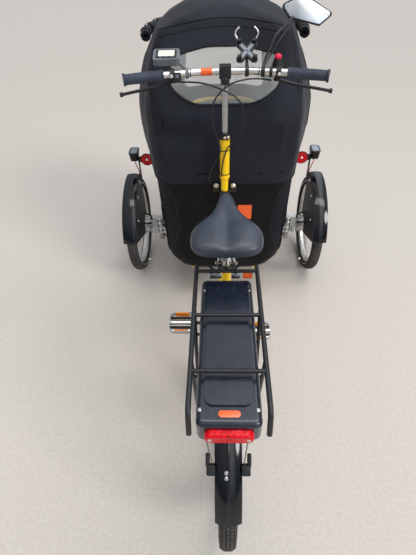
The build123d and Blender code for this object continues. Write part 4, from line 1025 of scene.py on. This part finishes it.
seams = [
    wire("seam_hem", round_hem(HEM + 0.004, 0.001), 0.0032, BINDING, True, 3),
    stitched("stitch_hem", round_hem(HEM + 0.014, 0.0002), True),
    wire("seam_window", across_back(widened(REAR_WINDOW, 0.004), 0.0008), 0.0028, BINDING, True, 2),
    stitched("stitch_window", across_back(widened(REAR_WINDOW, 0.011), 0.0002), True),
    wire("seam_ridge", across_back(arch(1.222, 0.037, 0.235), 0.0006), 0.0022, BINDING, False, 2),
    wire("seam_below_ridge", across_back(arch(1.199, 0.030, 0.232), 0.0004), 0.0015, BINDING, False, 2),
    stitched("stitch_ridge", across_back(arch(1.193, 0.030, 0.230), 0.0002), False),
]
screen_line = [
    on_surface(cloth_skin, (x, 0.9, z), BACKWARDS, 0.0008) for x, z in widened(WINDSCREEN, 0.004)
]
seams.append(wire("seam_screen", screen_line, 0.003, BINDING, True, 2))
for side in (-1, 1):
    binding_line, stitch_line = (
        [
            on_surface(cloth_skin, (side * 0.4, y, z), RIGHT * -side, 0.0005)
            for y, z in widened(SIDE_OPENING, distance)
        ]
        for distance in (0.004, 0.011)
    )
    seams.append(wire("seam_side", binding_line, 0.003, BINDING, True, 2))
    seams.append(stitched("stitch_side", stitch_line, True))
    edge = [(side * (0.240 + 0.030 * t), 1.165 - 0.16 * t) for t in (i / 20 for i in range(21))]
    seams.append(wire("seam_corner", across_back(edge, 0.0004), 0.0016, BINDING, False, 2))
laid(one("hood_seams", seams), "body", "canvas")


# Rolled side flaps: a sheet wound four times round, with lumps, and two straps

ROLL_Z = 1.158
ROLL_TURNS = 4
ROLL_STEPS = 22
ROLL_INNER, ROLL_OUTER = 0.006, 0.0192
ROLL_STATIONS = 48
# x and y along the middle of the right roll, from back to front
ROLL_PATH = ((0.2895, 0.4125), (0.2990, 0.474), (0.2875, 0.535), (0.257, 0.631))


def along_path(path, share):
    """A place on a path of points, by a share of its length, and its direction."""
    points = [Vector((x, y, ROLL_Z)) for x, y in path]
    lengths = [(b - a).length for a, b in zip(points, points[1:])]
    reach = share * sum(lengths)
    for a, b, length in zip(points, points[1:], lengths):
        if reach <= length or b is points[-1]:
            return a.lerp(b, reach / length), (b - a).normalized()
        reach -= length


rolls = []
straps = []
for side in (-1, 1):
    path = [(side * x, y) for x, y in ROLL_PATH]
    rings = []
    for station in range(ROLL_STATIONS + 1):
        share = station / ROLL_STATIONS
        before, _ = along_path(path, max(0.0, share - 0.06))
        after, _ = along_path(path, min(1.0, share + 0.06))
        centre, _ = along_path(path, share)
        axis, across, up = square_to(after - before)
        slack = 1 - 0.12 * math.sin(math.pi * share * 3) ** 2
        ring = []
        for step in range(ROLL_TURNS * ROLL_STEPS + 1):
            turn = 2 * math.pi * step / ROLL_STEPS
            radius = ROLL_INNER + (ROLL_OUTER - ROLL_INNER) * step / (ROLL_TURNS * ROLL_STEPS)
            spot = Vector((math.cos(turn) * 1.4, math.sin(turn) * 1.4, share * 9 + side * 5))
            radius *= slack + 0.08 * noise.noise(spot) + 0.04 * noise.noise(spot * 2.3)
            ring.append(centre + across * radius * math.cos(turn) + up * radius * math.sin(turn))
        rings.append(ring)
    roll = skin("roll", rings, CANVAS, closed=False, caps=False)
    rolls.append(creased(with_modifier(roll, "SOLIDIFY", thickness=0.0012, offset=0.0), 60))
    for share in (0.17, 0.5, 0.83):
        before, _ = along_path(path, share - 0.05)
        after, _ = along_path(path, share + 0.05)
        centre, _ = along_path(path, share)
        straps.append(band("strap", centre, after - before, 0.0188, 0.0204, 0.016, BINDING))
rolls = laid(one("flap_rolls", rolls), "body", "canvas", "hood_rolls")
laid(one("flap_straps", straps), "body", "canvas")


# Bench pads and saddle

PAD_CROWN = 0.004
CHANNEL_DEPTH = 0.005


def cushion(name, outline, lay, thick):
    """A bench pad from its outline: tucked edges, a crowned face and two quilted channels."""
    middle = Vector((sum(a for a, _ in outline), sum(b for _, b in outline))) / len(outline)
    rings = []
    # inset from the edge as a share of the half width, height as a share of the thickness
    for inset, rise in (
        (0.9, 0.0), (0.3, 0.0), (0.05, 0.02), (0.012, 0.12), (0.0, 0.35), (0.002, 0.55),
        (0.02, 0.78), (0.07, 0.92), (0.2, 1.0), (0.45, 1.0), (0.75, 1.0), (0.93, 1.0),
    ):
        ring = []
        for a, b in outline:
            spot = Vector((a, b)).lerp(middle, inset)
            height = rise * thick
            if rise > 0.6:
                height -= CHANNEL_DEPTH * sum(math.exp(-((spot.x - x) / 0.006) ** 2) for x in (-0.065, 0.065))
            if rise > 0.9:
                height += PAD_CROWN * math.sin(math.pi / 2 * min(1.0, inset * 2.2))
            ring.append(lay(spot.x, spot.y, height))
        rings.append(ring)
    thing = skin(name, rings, SEAT_CLOTH)
    thing = with_modifier(thing, "SUBSURF", levels=1, render_levels=1)
    thing.data.shade_smooth()
    return thing


seat_corners = [(-0.183, 0.217), (0.183, 0.217), (0.232, 0.413), (-0.232, 0.413)]
back_corners = [(-0.153, 0.467), (0.153, 0.467), (0.153, 0.693), (-0.153, 0.693)]
seat_outline = round_outline(seat_corners, [0.028] * 4, 20, 8)
back_outline = round_outline(back_corners, [0.040] * 4, 20, 8)
pads = [
    cushion("seat_pad", seat_outline, lambda a, b, up: Vector((a, b, 0.4303 + up)), 0.029),
    cushion("back_pad", back_outline, lambda a, b, up: Vector((a, 0.1745 + up, b)), 0.028),
]
pads = laid(one("bench_cushions", pads), "body", "pad_fabric", "bench_pads")

# y from the tail forward: half width, height of the crown, depth of the groove
SADDLE_ROWS = (
    (-0.4830, 0.052, 0.882, 0.000),
    (-0.4755, 0.076, 0.892, 0.005),
    (-0.4615, 0.091, 0.899, 0.009),
    (-0.4390, 0.0965, 0.904, 0.012),
    (-0.4105, 0.0975, 0.905, 0.014),
    (-0.3850, 0.092, 0.903, 0.013),
    (-0.3595, 0.075, 0.900, 0.010),
    (-0.3340, 0.053, 0.898, 0.005),
    (-0.3065, 0.038, 0.896, 0.002),
    (-0.2725, 0.028, 0.896, 0.000),
    (-0.2420, 0.022, 0.895, 0.000),
    (-0.2245, 0.0175, 0.891, 0.000),
    (-0.2155, 0.010, 0.885, 0.000),
)
SADDLE_WAIST = 0.870


def saddle_ring(y, half, crown, groove):
    """One cross-section of the saddle: a crowned and grooved top, round shoulders and a tucked-in skirt."""
    ring = []
    for i in range(40):
        angle = 2 * math.pi * i / 40
        out, up = math.cos(angle), math.sin(angle)
        x = half * math.copysign(abs(out) ** 0.8, out)
        if up >= 0:
            dip = groove * math.exp(-(x / 0.016) ** 2) + 0.35 * groove * (1 - abs(x) / half) * up
            z = SADDLE_WAIST + (crown - SADDLE_WAIST) * up ** 0.75 - dip
        else:
            z = SADDLE_WAIST - (SADDLE_WAIST - SADDLE_FOOT) * abs(up) ** 0.5
            x *= 1 - 0.10 * abs(up)
        ring.append(Vector((x, y, z)))
    return ring


saddle = skin("saddle_cover", [saddle_ring(*row) for row in SADDLE_ROWS], SADDLE)
saddle = with_modifier(saddle, "SUBSURF", levels=2, render_levels=2)
saddle.data.shade_smooth()
laid(saddle, "body", "saddle_cover", "saddle")


# Tyres: casing, tread blocks and a reflective line on each wall

# x and depth below the tread, from the bead round to the other bead
CASING = (
    (0.0105, 0.0440), (0.0150, 0.0435), (0.0190, 0.0405), (0.0225, 0.0350), (0.0240, 0.0280),
    (0.0238, 0.0215), (0.0222, 0.0145), (0.0190, 0.0085), (0.0140, 0.0046), (0.0075, 0.0026), (0.0, 0.0021),
)
# rows of blocks: x, depth of their middle below the tread, tilt, slant, length along the axle
TREAD_ROWS = (
    (-0.0185, 0.0072, -0.62, 0.0, 0.0070),
    (-0.0098, 0.0026, -0.26, -0.35, 0.0068),
    (0.0, 0.0012, 0.0, 0.0, 0.0062),
    (0.0098, 0.0026, 0.26, 0.35, 0.0068),
    (0.0185, 0.0072, 0.62, 0.0, 0.0070),
)
BLOCK_PITCH = 0.0135
# name of the wheel, x and y of its centre, radius of its tyre
WHEELS = (
    ("front_left", -FRONT_WHEEL_X, FRONT_Y, FRONT_TYRE_R),
    ("front_right", FRONT_WHEEL_X, FRONT_Y, FRONT_TYRE_R),
    ("rear", 0.0, REAR_Y, REAR_TYRE_R),
)
for label, x, y, radius in WHEELS:
    body = label + "_wheel"
    centre = Vector((x, y, radius))
    half = [(across, radius - deep) for across, deep in CASING]
    profile = [(-across, r) for across, r in half] + half[-2::-1]
    profile.append((0.0, radius - TYRE_DEPTH + 0.004))
    rings = [circle(centre + RIGHT * along, FORWARDS, UPWARDS, r, 96) for along, r in profile]
    tyre = [creased(looped("casing", rings, TYRE), 50)]
    count = round(2 * math.pi * radius / BLOCK_PITCH)
    for row, (across, deep, tilt, slant, long) in enumerate(TREAD_ROWS):
        tyre.append(grown(
            f"tread_{row}", WHEEL_BLOCKS, count=count, radius=radius - deep - 0.0003,
            phase=math.pi / count * (row % 2), tilt=tilt, slant=slant, size=(long, 0.0092, 0.0023),
            centre=centre + RIGHT * across, finish=TREAD,
        ))
    laid(one(label + "_tyre_rubber", tyre), body, "tyre_rubber", label + "_tyre")
    lines = []
    for side in (-1, 1):
        spot = centre + RIGHT * side * 0.0234
        lines.append(band("reflex", spot, RIGHT, radius - 0.0305, radius - 0.0275, 0.0016, SILVER_TAPE, 96))
    laid(one(label + "_reflex_lines", lines), body, "tyre_rubber")
    rim_r = radius - TYRE_DEPTH
    nipples = grown(
        label + "_nipples", WHEEL_BLOCKS, count=36, radius=rim_r - 0.022, phase=0.0, tilt=0.0, slant=0.4,
        size=(0.0034, 0.0034, 0.012), centre=centre, finish=CHROME,
    )
    laid(nipples, body, "wire_steel")
    valve = turned(
        label + "_valve", centre + UPWARDS * (rim_r - 0.014), -UPWARDS,
        [(0, 0.003), (0.026, 0.003), (0.027, 0.0022), (0.034, 0.0022), (0.035, 0.0014)], BLACK_PLASTIC, 12,
    )
    laid(valve, body, "black_plastic")


# Handlebar

def bar_place(x):
    """A point on the handlebar's axis, which bends back twice on each side."""
    return Vector((x, np.interp(abs(x), (0.080, 0.190, 0.3215), (0.144, 0.121, 0.080)), BAR_Z))


GRIP_RIBS = 12
grips = []
for side in (-1, 1):
    end, inner = bar_place(side * 0.3215), bar_place(side * 0.199)
    axis = inner - end
    long = axis.length
    pitch = (long - 0.018) / GRIP_RIBS
    profile = [(0.0, 0.010), (0.0, 0.0185), (0.004, 0.0192), (0.007, 0.0175)]
    for i in range(GRIP_RIBS):
        rib_start = 0.009 + i * pitch
        swell = 0.0006 * math.sin(math.pi * i / (GRIP_RIBS - 1))
        for share, rib_radius in ((0, 0.0147), (0.15, 0.0159), (0.75, 0.0159), (0.9, 0.0147)):
            profile.append((rib_start + pitch * share, rib_radius + swell))
    profile += [(long - 0.006, 0.0165), (long - 0.001, 0.0165), (long, 0.0150), (long, 0.0112)]
    grips.append(turned("grip", end, axis, profile, GRIP, 40))
laid(one("ribbed_grips", grips), "steering", "grip_rubber", "grips")

fittings = [
    band("tape", (-0.0605, 0.144, BAR_Z), RIGHT, 0.0108, 0.0115, 0.036, ORANGE_TAPE),
    band("tie_left", bar_place(-0.112), RIGHT, 0.0109, 0.0122, 0.003, BLACK_PLASTIC),
    band("tie_right", bar_place(0.108), RIGHT, 0.0109, 0.0122, 0.003, BLACK_PLASTIC),
]
laid(one("bar_bands", fittings), "steering", "black_plastic")

DISPLAY_OUT = Vector((0, -0.3, 1)).normalized()
DISPLAY_UP = Vector((0, 1, 0.3)).normalized()
display_skin = surface_of(nodes["display"])
screen_seat = on_surface(display_skin, (-0.187, 0.159, 1.143), -DISPLAY_OUT, 0.0012)
screen = [
    slab(
        "bezel", screen_seat, RIGHT, DISPLAY_UP,
        rounded_box(0.066, 0.044, 0.006), 0.003, BLACK_PLASTIC, 0.0006,
    ),
    slab(
        "glass", screen_seat + DISPLAY_OUT * 0.0006 + DISPLAY_UP * 0.002, RIGHT, DISPLAY_UP,
        rounded_box(0.052, 0.031, 0.003), 0.003, SCREEN_FACE, 0.0003,
    ),
]
for x in (-0.018, 0.0, 0.018):
    screen.append(slab(
        "key", screen_seat + DISPLAY_OUT * 0.0009 + RIGHT * x - DISPLAY_UP * 0.0178, RIGHT, DISPLAY_UP,
        rounded_box(0.010, 0.0036, 0.0016), 0.003, GREY_PLASTIC, 0.0003,
    ))
laid(one("display_screen", screen), "steering", "display_plastic")

HOLDER_OUT = Vector((0, -0.45, 1)).normalized()
HOLDER_UP = Vector((0, 1, 0.45)).normalized()
holder_skin = surface_of(nodes["phone_holder"])
holder = []
for turn in (math.radians(56), math.radians(124)):
    along = RIGHT * math.cos(turn) + HOLDER_UP * math.sin(turn)
    seat = on_surface(holder_skin, Vector((0.070, 0.189, 1.153)) + along * 0.020, -HOLDER_OUT, 0.0012)
    for place in (seat, seat - along * 0.040):
        pad = rounded_box(0.034, 0.012, 0.004)
        holder.append(slab("pad", place, along, HOLDER_OUT.cross(along), pad, 0.003, PALE_PLASTIC, 0.0005))
for side in (-1, 1):
    foot = Vector((0.070 + side * 0.024, 0.2215, 1.168))
    holder.append(wire("arm", [
        foot, foot + Vector((side * 0.004, 0.003, 0.014)), foot + Vector((side * 0.015, 0.007, 0.030)),
        foot + Vector((side * 0.009, 0.010, 0.042)), foot + Vector((-side * 0.001, 0.012, 0.048)),
    ], 0.0026, ALUMINIUM))
laid(one("phone_holder_pads", holder), "steering", "black_plastic")

SWITCH_UP = (0, 0.3, 1)
switch = slab(
    "thumb_switch", (-0.1545, 0.113, 1.106), RIGHT, SWITCH_UP, rounded_box(0.026, 0.030, 0.005), 0.018,
    BLACK_PLASTIC, 0.0015,
)
button = slab(
    "thumb_button", (-0.1545, 0.1115, 1.110), RIGHT, SWITCH_UP, rounded_box(0.012, 0.010, 0.003), 0.003,
    GREY_PLASTIC, 0.0005,
)
laid(one("switch_unit", [switch, button]), "steering", "black_plastic")
horn_top = turned("horn_dome", (0.170, 0.169, 1.1405), UPWARDS, [
    (0, 0.0106), (0.004, 0.0114), (0.008, 0.0108), (0.011, 0.0088), (0.0132, 0.0052), (0.0140, 0.0),
], RED_VINYL, 28)
laid(horn_top, "steering", "black_plastic")

MIRROR_OUT = Vector((0, -1, 0.45)).normalized()
MIRROR_UP = Vector((0, 0.45, 1)).normalized()
MIRROR_CORNERS = [
    (-0.086, 0.022), (-0.060, -0.012), (0.039, -0.037), (0.080, -0.006), (0.005, 0.037), (-0.040, 0.042),
]
mirror_seat = Vector((0.262, 0.241, 1.250)) + MIRROR_OUT * 0.0008
glass_outline = round_outline([(x * 0.93, z * 0.90) for x, z in MIRROR_CORNERS], [0.008] * 6, 3, 5)
glass = slab("mirror_glass", mirror_seat, RIGHT, MIRROR_UP, glass_outline, 0.003, MIRROR_GLASS, 0.0004)
laid(glass, "steering", "black_plastic")
second_arm = wire("mirror_second_arm", [
    (0.122, 0.146, 1.124), (0.136, 0.170, 1.130), (0.170, 0.196, 1.186), (0.228, 0.250, 1.236),
], 0.0022, BLACK_PLASTIC)
laid(second_arm, "steering", "black_plastic")


# Pedals: an open cage round a barrel, with an amber reflector at its front and back

# word, body, x of the middle, y and z of the spindle
PEDALS = (("left", -0.1543, -0.3536, 0.4401), ("right", 0.1543, -0.1684, 0.1549))
PEDAL_LENGTH, PEDAL_WIDTH = 0.0886, 0.084
for word, x, y, z in PEDALS:
    middle = Vector((x, y, z))
    outer = rounded_box(PEDAL_LENGTH, PEDAL_WIDTH, 0.020, 6)
    inner = rounded_box(PEDAL_LENGTH - 0.007, PEDAL_WIDTH - 0.007, 0.0165, 6)
    rings = []
    for outline, height in ((outer, -0.007), (outer, 0.007), (inner, 0.008), (inner, -0.008)):
        rings.append([middle + Vector((a, b, height)) for a, b in outline])
    cage = [creased(looped("frame", rings, SPOKE_STEEL), 30)]
    rib = rounded_box(PEDAL_LENGTH - 0.005, 0.0042, 0.001)
    for b in (-0.021, 0.021):
        cage.append(slab(
            "rib", middle + Vector((0, b, 0.0062)), RIGHT, FORWARDS, rib, 0.0124, BLACK_PLASTIC, 0.0006,
        ))
    cage.append(turned("barrel", middle - RIGHT * PEDAL_LENGTH / 2, RIGHT, [
        (0.0005, 0.0), (0.0005, 0.0085), (0.012, 0.010), (0.030, 0.0088),
        (0.058, 0.0088), (0.076, 0.010), (0.0881, 0.0085), (0.0881, 0.0),
    ], CHROME, 28))
    for b in (-1, 1):
        cage.append(slab(
            "reflector", middle + Vector((0, b * (PEDAL_WIDTH / 2 - 0.0035), 0.0092)), RIGHT, FORWARDS,
            rounded_box(0.048, 0.0058, 0.002), 0.018, AMBER_LENS, 0.0006,
        ))
    laid(one(word + "_pedal_cage", cage), word + "_pedal", "pedal_metal", word + "_pedal")


# Lamps and reflectors on the knuckles

for side, word in ((-1, "left"), (1, "right")):
    body = word + "_knuckle"
    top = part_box(word + "_headlight")[1].z
    lamp_glass = slab(
        word + "_lamp_glass", (side * 0.434, 0.535, top + 0.0012), RIGHT, FORWARDS,
        rounded_box(0.032, 0.054, 0.006), 0.003, LAMP_GLASS, 0.0006,
    )
    laid(lamp_glass, body, "black_plastic")
    lead = wire(word + "_lamp_lead", [
        (side * 0.432, 0.512, 0.628), (side * 0.430, 0.505, 0.596), (side * 0.420, 0.512, 0.566),
        (side * 0.4205, 0.520, 0.530), (side * 0.4205, 0.522, 0.505),
    ], 0.0022, RED_VINYL)
    laid(lead, body, "black_plastic")
    rim_spot = (side * 0.372, 0.5125, 0.617)
    rim = band(word + "_reflector_rim", rim_spot, FORWARDS, 0.0284, 0.0305, 0.006, BLACK_PLASTIC, 40)
    laid(rim, body, "red_lens")
    fasteners(
        word + "_reflector_screw", body, "red_lens", CHROME, 0.0042, 0.003, 20,
        [(word + "_reflector", (side * 0.372, 0.5, 0.617), BACKWARDS)],
    )


# Tub: piping along its back panel, beads round its windows, the orange patch

tub_surface = surface_of(nodes["tub_shell"])


def panel_edge(z):
    """Half width of the tub's back panel at a height."""
    return PANEL_HALF + PANEL_FLARE * (z - PANEL_WAIST) ** 2


TUB_WINDOW = round_outline([(0.209, 0.300), (0.409, 0.285), (0.409, 0.425), (0.209, 0.470)], [0.02] * 4, 8, 5)
tub_trim = []
for side in (-1, 1):
    line = []
    for z in (0.682 - 0.0168 * i for i in range(26)):
        line.append(on_surface(tub_surface, (side * panel_edge(z), 0.05, z), FORWARDS, 0.0006))
    tub_trim.append(wire("piping", line, 0.0030, BINDING))
    tub_trim.append(stitched("piping_stitch", [p + Vector((-side * 0.008, -0.0002, 0)) for p in line], False))
    bead = [
        on_surface(tub_surface, (side * 0.45, y, z), RIGHT * -side, 0.0008)
        for y, z in widened(TUB_WINDOW, 0.004)
    ]
    tub_trim.append(wire("window_bead", bead, 0.0034, BINDING, True, 2))
laid(one("tub_trim", tub_trim), "body", "tub_plastic")
tape = patch("orange_patch", tub_surface, [
    (0.057, 0.05, 0.514), (0.116, 0.05, 0.514), (0.116, 0.05, 0.584), (0.057, 0.05, 0.584),
], FORWARDS, ORANGE_TAPE)
laid(tape, "body", "tub_plastic")


# Frame: ties round its housing, seat clamp, brackets and clips at the rack's front, stay clamps, battery mark

# how far the seat tube goes back for each metre that it rises
SEAT_RAKE = 0.236
SEAT_AXIS = Vector((0, -SEAT_RAKE, 1)).normalized()


def on_seat_tube(z):
    """A point on the seat tube's axis, which starts at the crank's."""
    return Vector((0, CRANK_Y - (z - 0.2975) * SEAT_RAKE, z))


frame_bands = [
    band("tie_upper", (0, COLUMN_Y, 0.853), UPWARDS, 0.0178, 0.0192, 0.0035, BLACK_PLASTIC),
    band("tie_lower", (0, COLUMN_Y, 0.757), UPWARDS, 0.0178, 0.0192, 0.0035, BLACK_PLASTIC),
    band("sleeve", on_seat_tube(0.733), SEAT_AXIS, 0.0158, 0.0205, 0.030, BLACK_PLASTIC),
    band("clamp", on_seat_tube(0.760), SEAT_AXIS, 0.0136, 0.0190, 0.020, CHROME),
]
for x, width, finish in ((-0.031, 0.034, CHROME), (0.025, 0.024, CHROME), (0.058, 0.026, ORANGE_TAPE)):
    frame_bands.append(slab(
        "bracket", (x, REAR_Y + 0.2165, 0.7705), RIGHT, (0, 0.35, 1), rounded_box(width, 0.016, 0.003), 0.003,
        finish, 0.0005,
    ))
for x in (-0.041, -0.022, 0.025):
    frame_bands.append(band("clip", (x, REAR_Y + 0.222, 0.784), RIGHT, 0.0058, 0.0078, 0.006, BLACK_ENAMEL))
ears = slab(
    "clamp_ears", on_seat_tube(0.760) + BACKWARDS * 0.014, RIGHT, SEAT_AXIS, rounded_box(0.052, 0.014, 0.005),
    0.009, CHROME, 0.001,
)
laid(one("frame_bands", frame_bands + [ears]), "body", "black_paint")


def outwards_at(angle):
    """The direction away from an axle, at degrees up from straight ahead."""
    return Vector((0, math.cos(math.radians(angle)), math.sin(math.radians(angle))))


STAY_ANGLE = 131
REAR_AXLE = Vector((0, REAR_Y, REAR_TYRE_R))
clamps = []
for side in (-1, 1):
    out = outwards_at(STAY_ANGLE)
    seat = REAR_AXLE + RIGHT * side * 0.0400 + out * 0.352
    clamps.append(slab(
        "clamp", seat, RIGHT, -RIGHT.cross(out),
        rounded_box(0.020, 0.024, 0.004), 0.014, BLACK_PLASTIC, 0.001,
    ))
    clamps.append(turned("clamp_eye", seat + Vector((side * 0.007, 0.010, 0)), (0, 0.6, 0.8), [
        (0, 0.0), (0, 0.005), (0.028, 0.005), (0.030, 0.004), (0.030, 0.0),
    ], BLACK_PLASTIC, 16))
laid(one("stay_clamps", clamps), "body", "black_plastic")

battery_skin = surface_of(nodes["battery"])
mark_seat = on_surface(battery_skin, (0.001, -0.849, 0.768), -UPWARDS, 0.0010)
mark = slab(
    "battery_mark", mark_seat, RIGHT, FORWARDS, rounded_box(0.046, 0.015, 0.007), 0.003, ORANGE_TAPE, 0.0003,
)
laid(mark, "body", "battery_case")


# Fasteners

# name, body, slot, finish, head radius, head height, sides, and each one's node, place and direction
FASTENER_ROWS = [
    ("hood_screws", "body", "bracket_steel", CHROME, 0.0075, 0.006, 24, [
        (None, (-0.033, 0.1475, 0.690), BACKWARDS), (None, (0.035, 0.1475, 0.690), BACKWARDS),
    ]),
    ("rack_end_bolts", "body", "bracket_steel", BRONZE, 0.0040, 0.003, 6, [
        ("rack", (side * 0.083, 0.0, 0.784), FORWARDS) for side in (-1, 1)
    ]),
    ("seat_clamp_bolts", "body", "bracket_steel", CHROME, 0.0048, 0.006, 6, [
        (None, on_seat_tube(0.760) + Vector((side * 0.026, -0.018, 0)), RIGHT * side) for side in (-1, 1)
    ]),
    ("headset_bolt", "body", "bracket_steel", CHROME, 0.0045, 0.004, 6, [
        ("headset", (x, 0.05, 0.905), BACKWARDS) for x in (0.0, 0.012)
    ]),
    ("guard_screws", "body", "gloss_black", CHROME, 0.0036, 0.0024, 16, [
        ("rear_mudguard", REAR_AXLE - RIGHT * 0.004 + outwards_at(angle) * 0.356, outwards_at(angle))
        for angle in (131.7, 133.6)
    ]),
    ("stem_bolts", "steering", "black_paint", BLACK_ENAMEL, 0.0034, 0.0030, 6, [
        ("stem", (side * 0.011, 0.05, z), BACKWARDS) for side in (-1, 1) for z in (1.102, 1.122)
    ]),
    ("lever_bolts", "steering", "black_plastic", CHROME, 0.0040, 0.003, 6, [
        ("brake_levers", (side * 0.171, 0.12, 1.112), BACKWARDS) for side in (-1, 1)
    ]),
    ("battery_screws", "body", "battery_case", CHROME, 0.0030, 0.0016, 16, [
        ("battery", (side * 0.060, y, 0.80), UPWARDS) for side in (-1, 1) for y in (-0.84, -0.50)
    ]),
    ("tail_light_screws", "body", "red_lens", CHROME, 0.0028, 0.0016, 16, [
        ("tail_light", (side * 0.040, -0.95, 0.728), BACKWARDS) for side in (-1, 1)
    ]),
]
for side, word in ((-1, "left"), (1, "right")):
    knuckle = word + "_knuckle"
    out = RIGHT * side
    axle = Vector((0, FRONT_Y, FRONT_TYRE_R))
    rays = [outwards_at(30 + 60 * i) for i in range(6)]
    knuckle_bolts = [(knuckle, axle + out * 0.30 + ray * 0.036, -out) for ray in rays]
    knuckle_bolts.append((knuckle, (side * 0.345, FRONT_Y, 0.40), UPWARDS))
    for x, z in ((0.345, 0.207), (0.345, 0.292), (0.366, 0.250)):
        knuckle_bolts.append((knuckle, (side * x, 0.20, z), BACKWARDS))
    kingpin_bolts = [
        ("front_axle", (side * x, 0.20, z), BACKWARDS)
        for x, z in ((0.345, 0.232), (0.345, 0.268), (0.300, 0.184))
    ]
    hub_bolts = [(f"front_{word}_hub", axle + out * 0.55 + ray * 0.0216, out) for ray in rays]
    guard_bolts = [
        (word + "_mudguard", axle + out * 0.38 + outwards_at(angle) * Vector((0, 0.20, 0.27)), -out)
        for angle in (95, 120, 148)
    ]
    FASTENER_ROWS += [
        (knuckle + "_bolts", knuckle, "wire_steel", CHROME, 0.0045, 0.0045, 6, knuckle_bolts),
        (word + "_kingpin_bolts", "body", "wire_steel", CHROME, 0.0060, 0.0050, 6, kingpin_bolts),
        (word + "_hub_bolts", f"front_{word}_wheel", "bright_aluminium", CHROME, 0.0042, 0.004, 6, hub_bolts),
        (word + "_guard_bolts", knuckle, "gloss_black", CHROME, 0.0045, 0.003, 6, guard_bolts),
    ]
for row in FASTENER_ROWS:
    fasteners(*row)


# Control cables: they hang free from the levers, follow the housing under its ties and end behind it

CABLE_R = 0.0027
# name, points near its route
CABLES = (
    ("left_lever_cable", (
        (-0.150, 0.140, 1.0835), (-0.120, 0.126, 1.088), (-0.075, 0.108, 1.090), (-0.035, 0.098, 1.082),
        (0.006, 0.090, 1.068), (0.045, 0.090, 1.045), (0.066, 0.090, 1.000), (0.060, 0.090, 0.945),
        (0.036, 0.096, 0.903), (0.010, 0.1035, 0.872), (0.003, 0.1065, 0.852), (-0.006, 0.1065, 0.820),
        (-0.012, 0.1085, 0.780), (-0.014, 0.1095, 0.752),
    )),
    ("right_lever_cable", (
        (0.150, 0.138, 1.084), (0.118, 0.128, 1.094), (0.070, 0.118, 1.096), (0.026, 0.108, 1.090),
        (-0.012, 0.103, 1.068), (-0.040, 0.099, 1.034), (-0.046, 0.098, 0.985), (-0.032, 0.101, 0.925),
        (-0.018, 0.106, 0.880), (-0.016, 0.1085, 0.853), (-0.028, 0.108, 0.826), (-0.048, 0.116, 0.786),
        (-0.060, 0.132, 0.735), (-0.062, 0.146, 0.705),
    )),
)


def route(name, points):
    """The smooth line of a cable's route, from its own spline."""
    thing = settled(smooth_line(name + "_route", points, False, 8))
    line = [vertex.co.copy() for vertex in thing.data.vertices]
    bpy.data.objects.remove(thing)
    return line


def tube(name, line, radius, finish):
    """A round tube along a line of points."""
    rings = []
    helper = Vector((0.3, 0.2, 1)).normalized()
    for i, place in enumerate(line):
        tangent = (line[min(i + 1, len(line) - 1)] - line[max(i - 1, 0)]).normalized()
        helper = (helper - tangent * helper.dot(tangent)).normalized()
        rings.append(circle(place, helper, tangent.cross(helper), radius, 10))
    return skin(name, rings, finish)


for name, points in CABLES:
    line = route(name, points)
    cable = tube(name, line, CABLE_R, CABLE)
    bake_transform(cable)


# Floor and light

def floor_finish():
    """Pale concrete, plain."""
    made, tree, shader, place = finish_of("pale_concrete", "#C9C2BB", Roughness=0.9)
    tint(tree, shader, speckle(tree, place, 0.012, 4.0), "#C3BBB4", "#CEC7C0")
    return made


floor_corners = [(-20, -20, 0), (20, -20, 0), (20, 20, 0), (-20, 20, 0)]
floor = made_of("floor", floor_corners, [(0, 1, 2, 3)], floor_finish())

world = bpy.data.worlds.new("overcast")
world.use_nodes = True
sky = world.node_tree
towards = put(sky, "ShaderNodeTexCoord").outputs["Generated"]
parts = put(sky, "ShaderNodeSeparateXYZ", {0: towards}).outputs
shade = ramp(sky, parts[2], [(0.0, linear("#6C727A")), (0.3, linear("#A9B0BA")), (0.95, linear("#FFFFFF"))])
sky.links.new(shade, sky.nodes["Background"].inputs["Color"])
# a long bright strip overhead, a little to the right, draws the long highlights on the guards
off_strip = put(sky, "ShaderNodeMath", {0: parts[0], 1: 0.30}, operation="SUBTRACT").outputs[0]
distance = put(sky, "ShaderNodeMath", {0: off_strip}, operation="ABSOLUTE").outputs[0]
strip = put(sky, "ShaderNodeMapRange", {
    "Value": distance, "From Min": 0.10, "From Max": 0.22, "To Min": 2.4, "To Max": 0.8,
}).outputs[0]
# the camera itself sees the plain sky without the strip
seen = put(sky, "ShaderNodeLightPath").outputs["Is Camera Ray"]
strength = put(sky, "ShaderNodeMapRange", {
    "Value": seen, "From Min": 0.0, "From Max": 1.0, "To Min": strip, "To Max": 0.9,
}).outputs[0]
sky.links.new(strength, sky.nodes["Background"].inputs["Strength"])
scene.world = world


def lamp(name, kind, energy, place, aim, size):
    """A lamp that looks from a place towards an aim."""
    light = bpy.data.lights.new(name, kind)
    light.energy = energy
    if kind == "AREA":
        light.shape = "RECTANGLE"
        light.size, light.size_y = size
    else:
        light.angle = size
    thing = bpy.data.objects.new(name, light)
    thing.location = place
    thing.rotation_euler = (Vector(aim) - Vector(place)).to_track_quat("-Z", "Y").to_euler()
    scene.collection.objects.link(thing)


lamp("soft_sun", "SUN", 1.3, (3.2, -2.2, 3.0), (0, 0, 0.5), math.radians(20))
lamp("softbox", "AREA", 35, (0.7, -0.3, 3.6), (0.0, -0.3, 0.5), (0.8, 3.4))
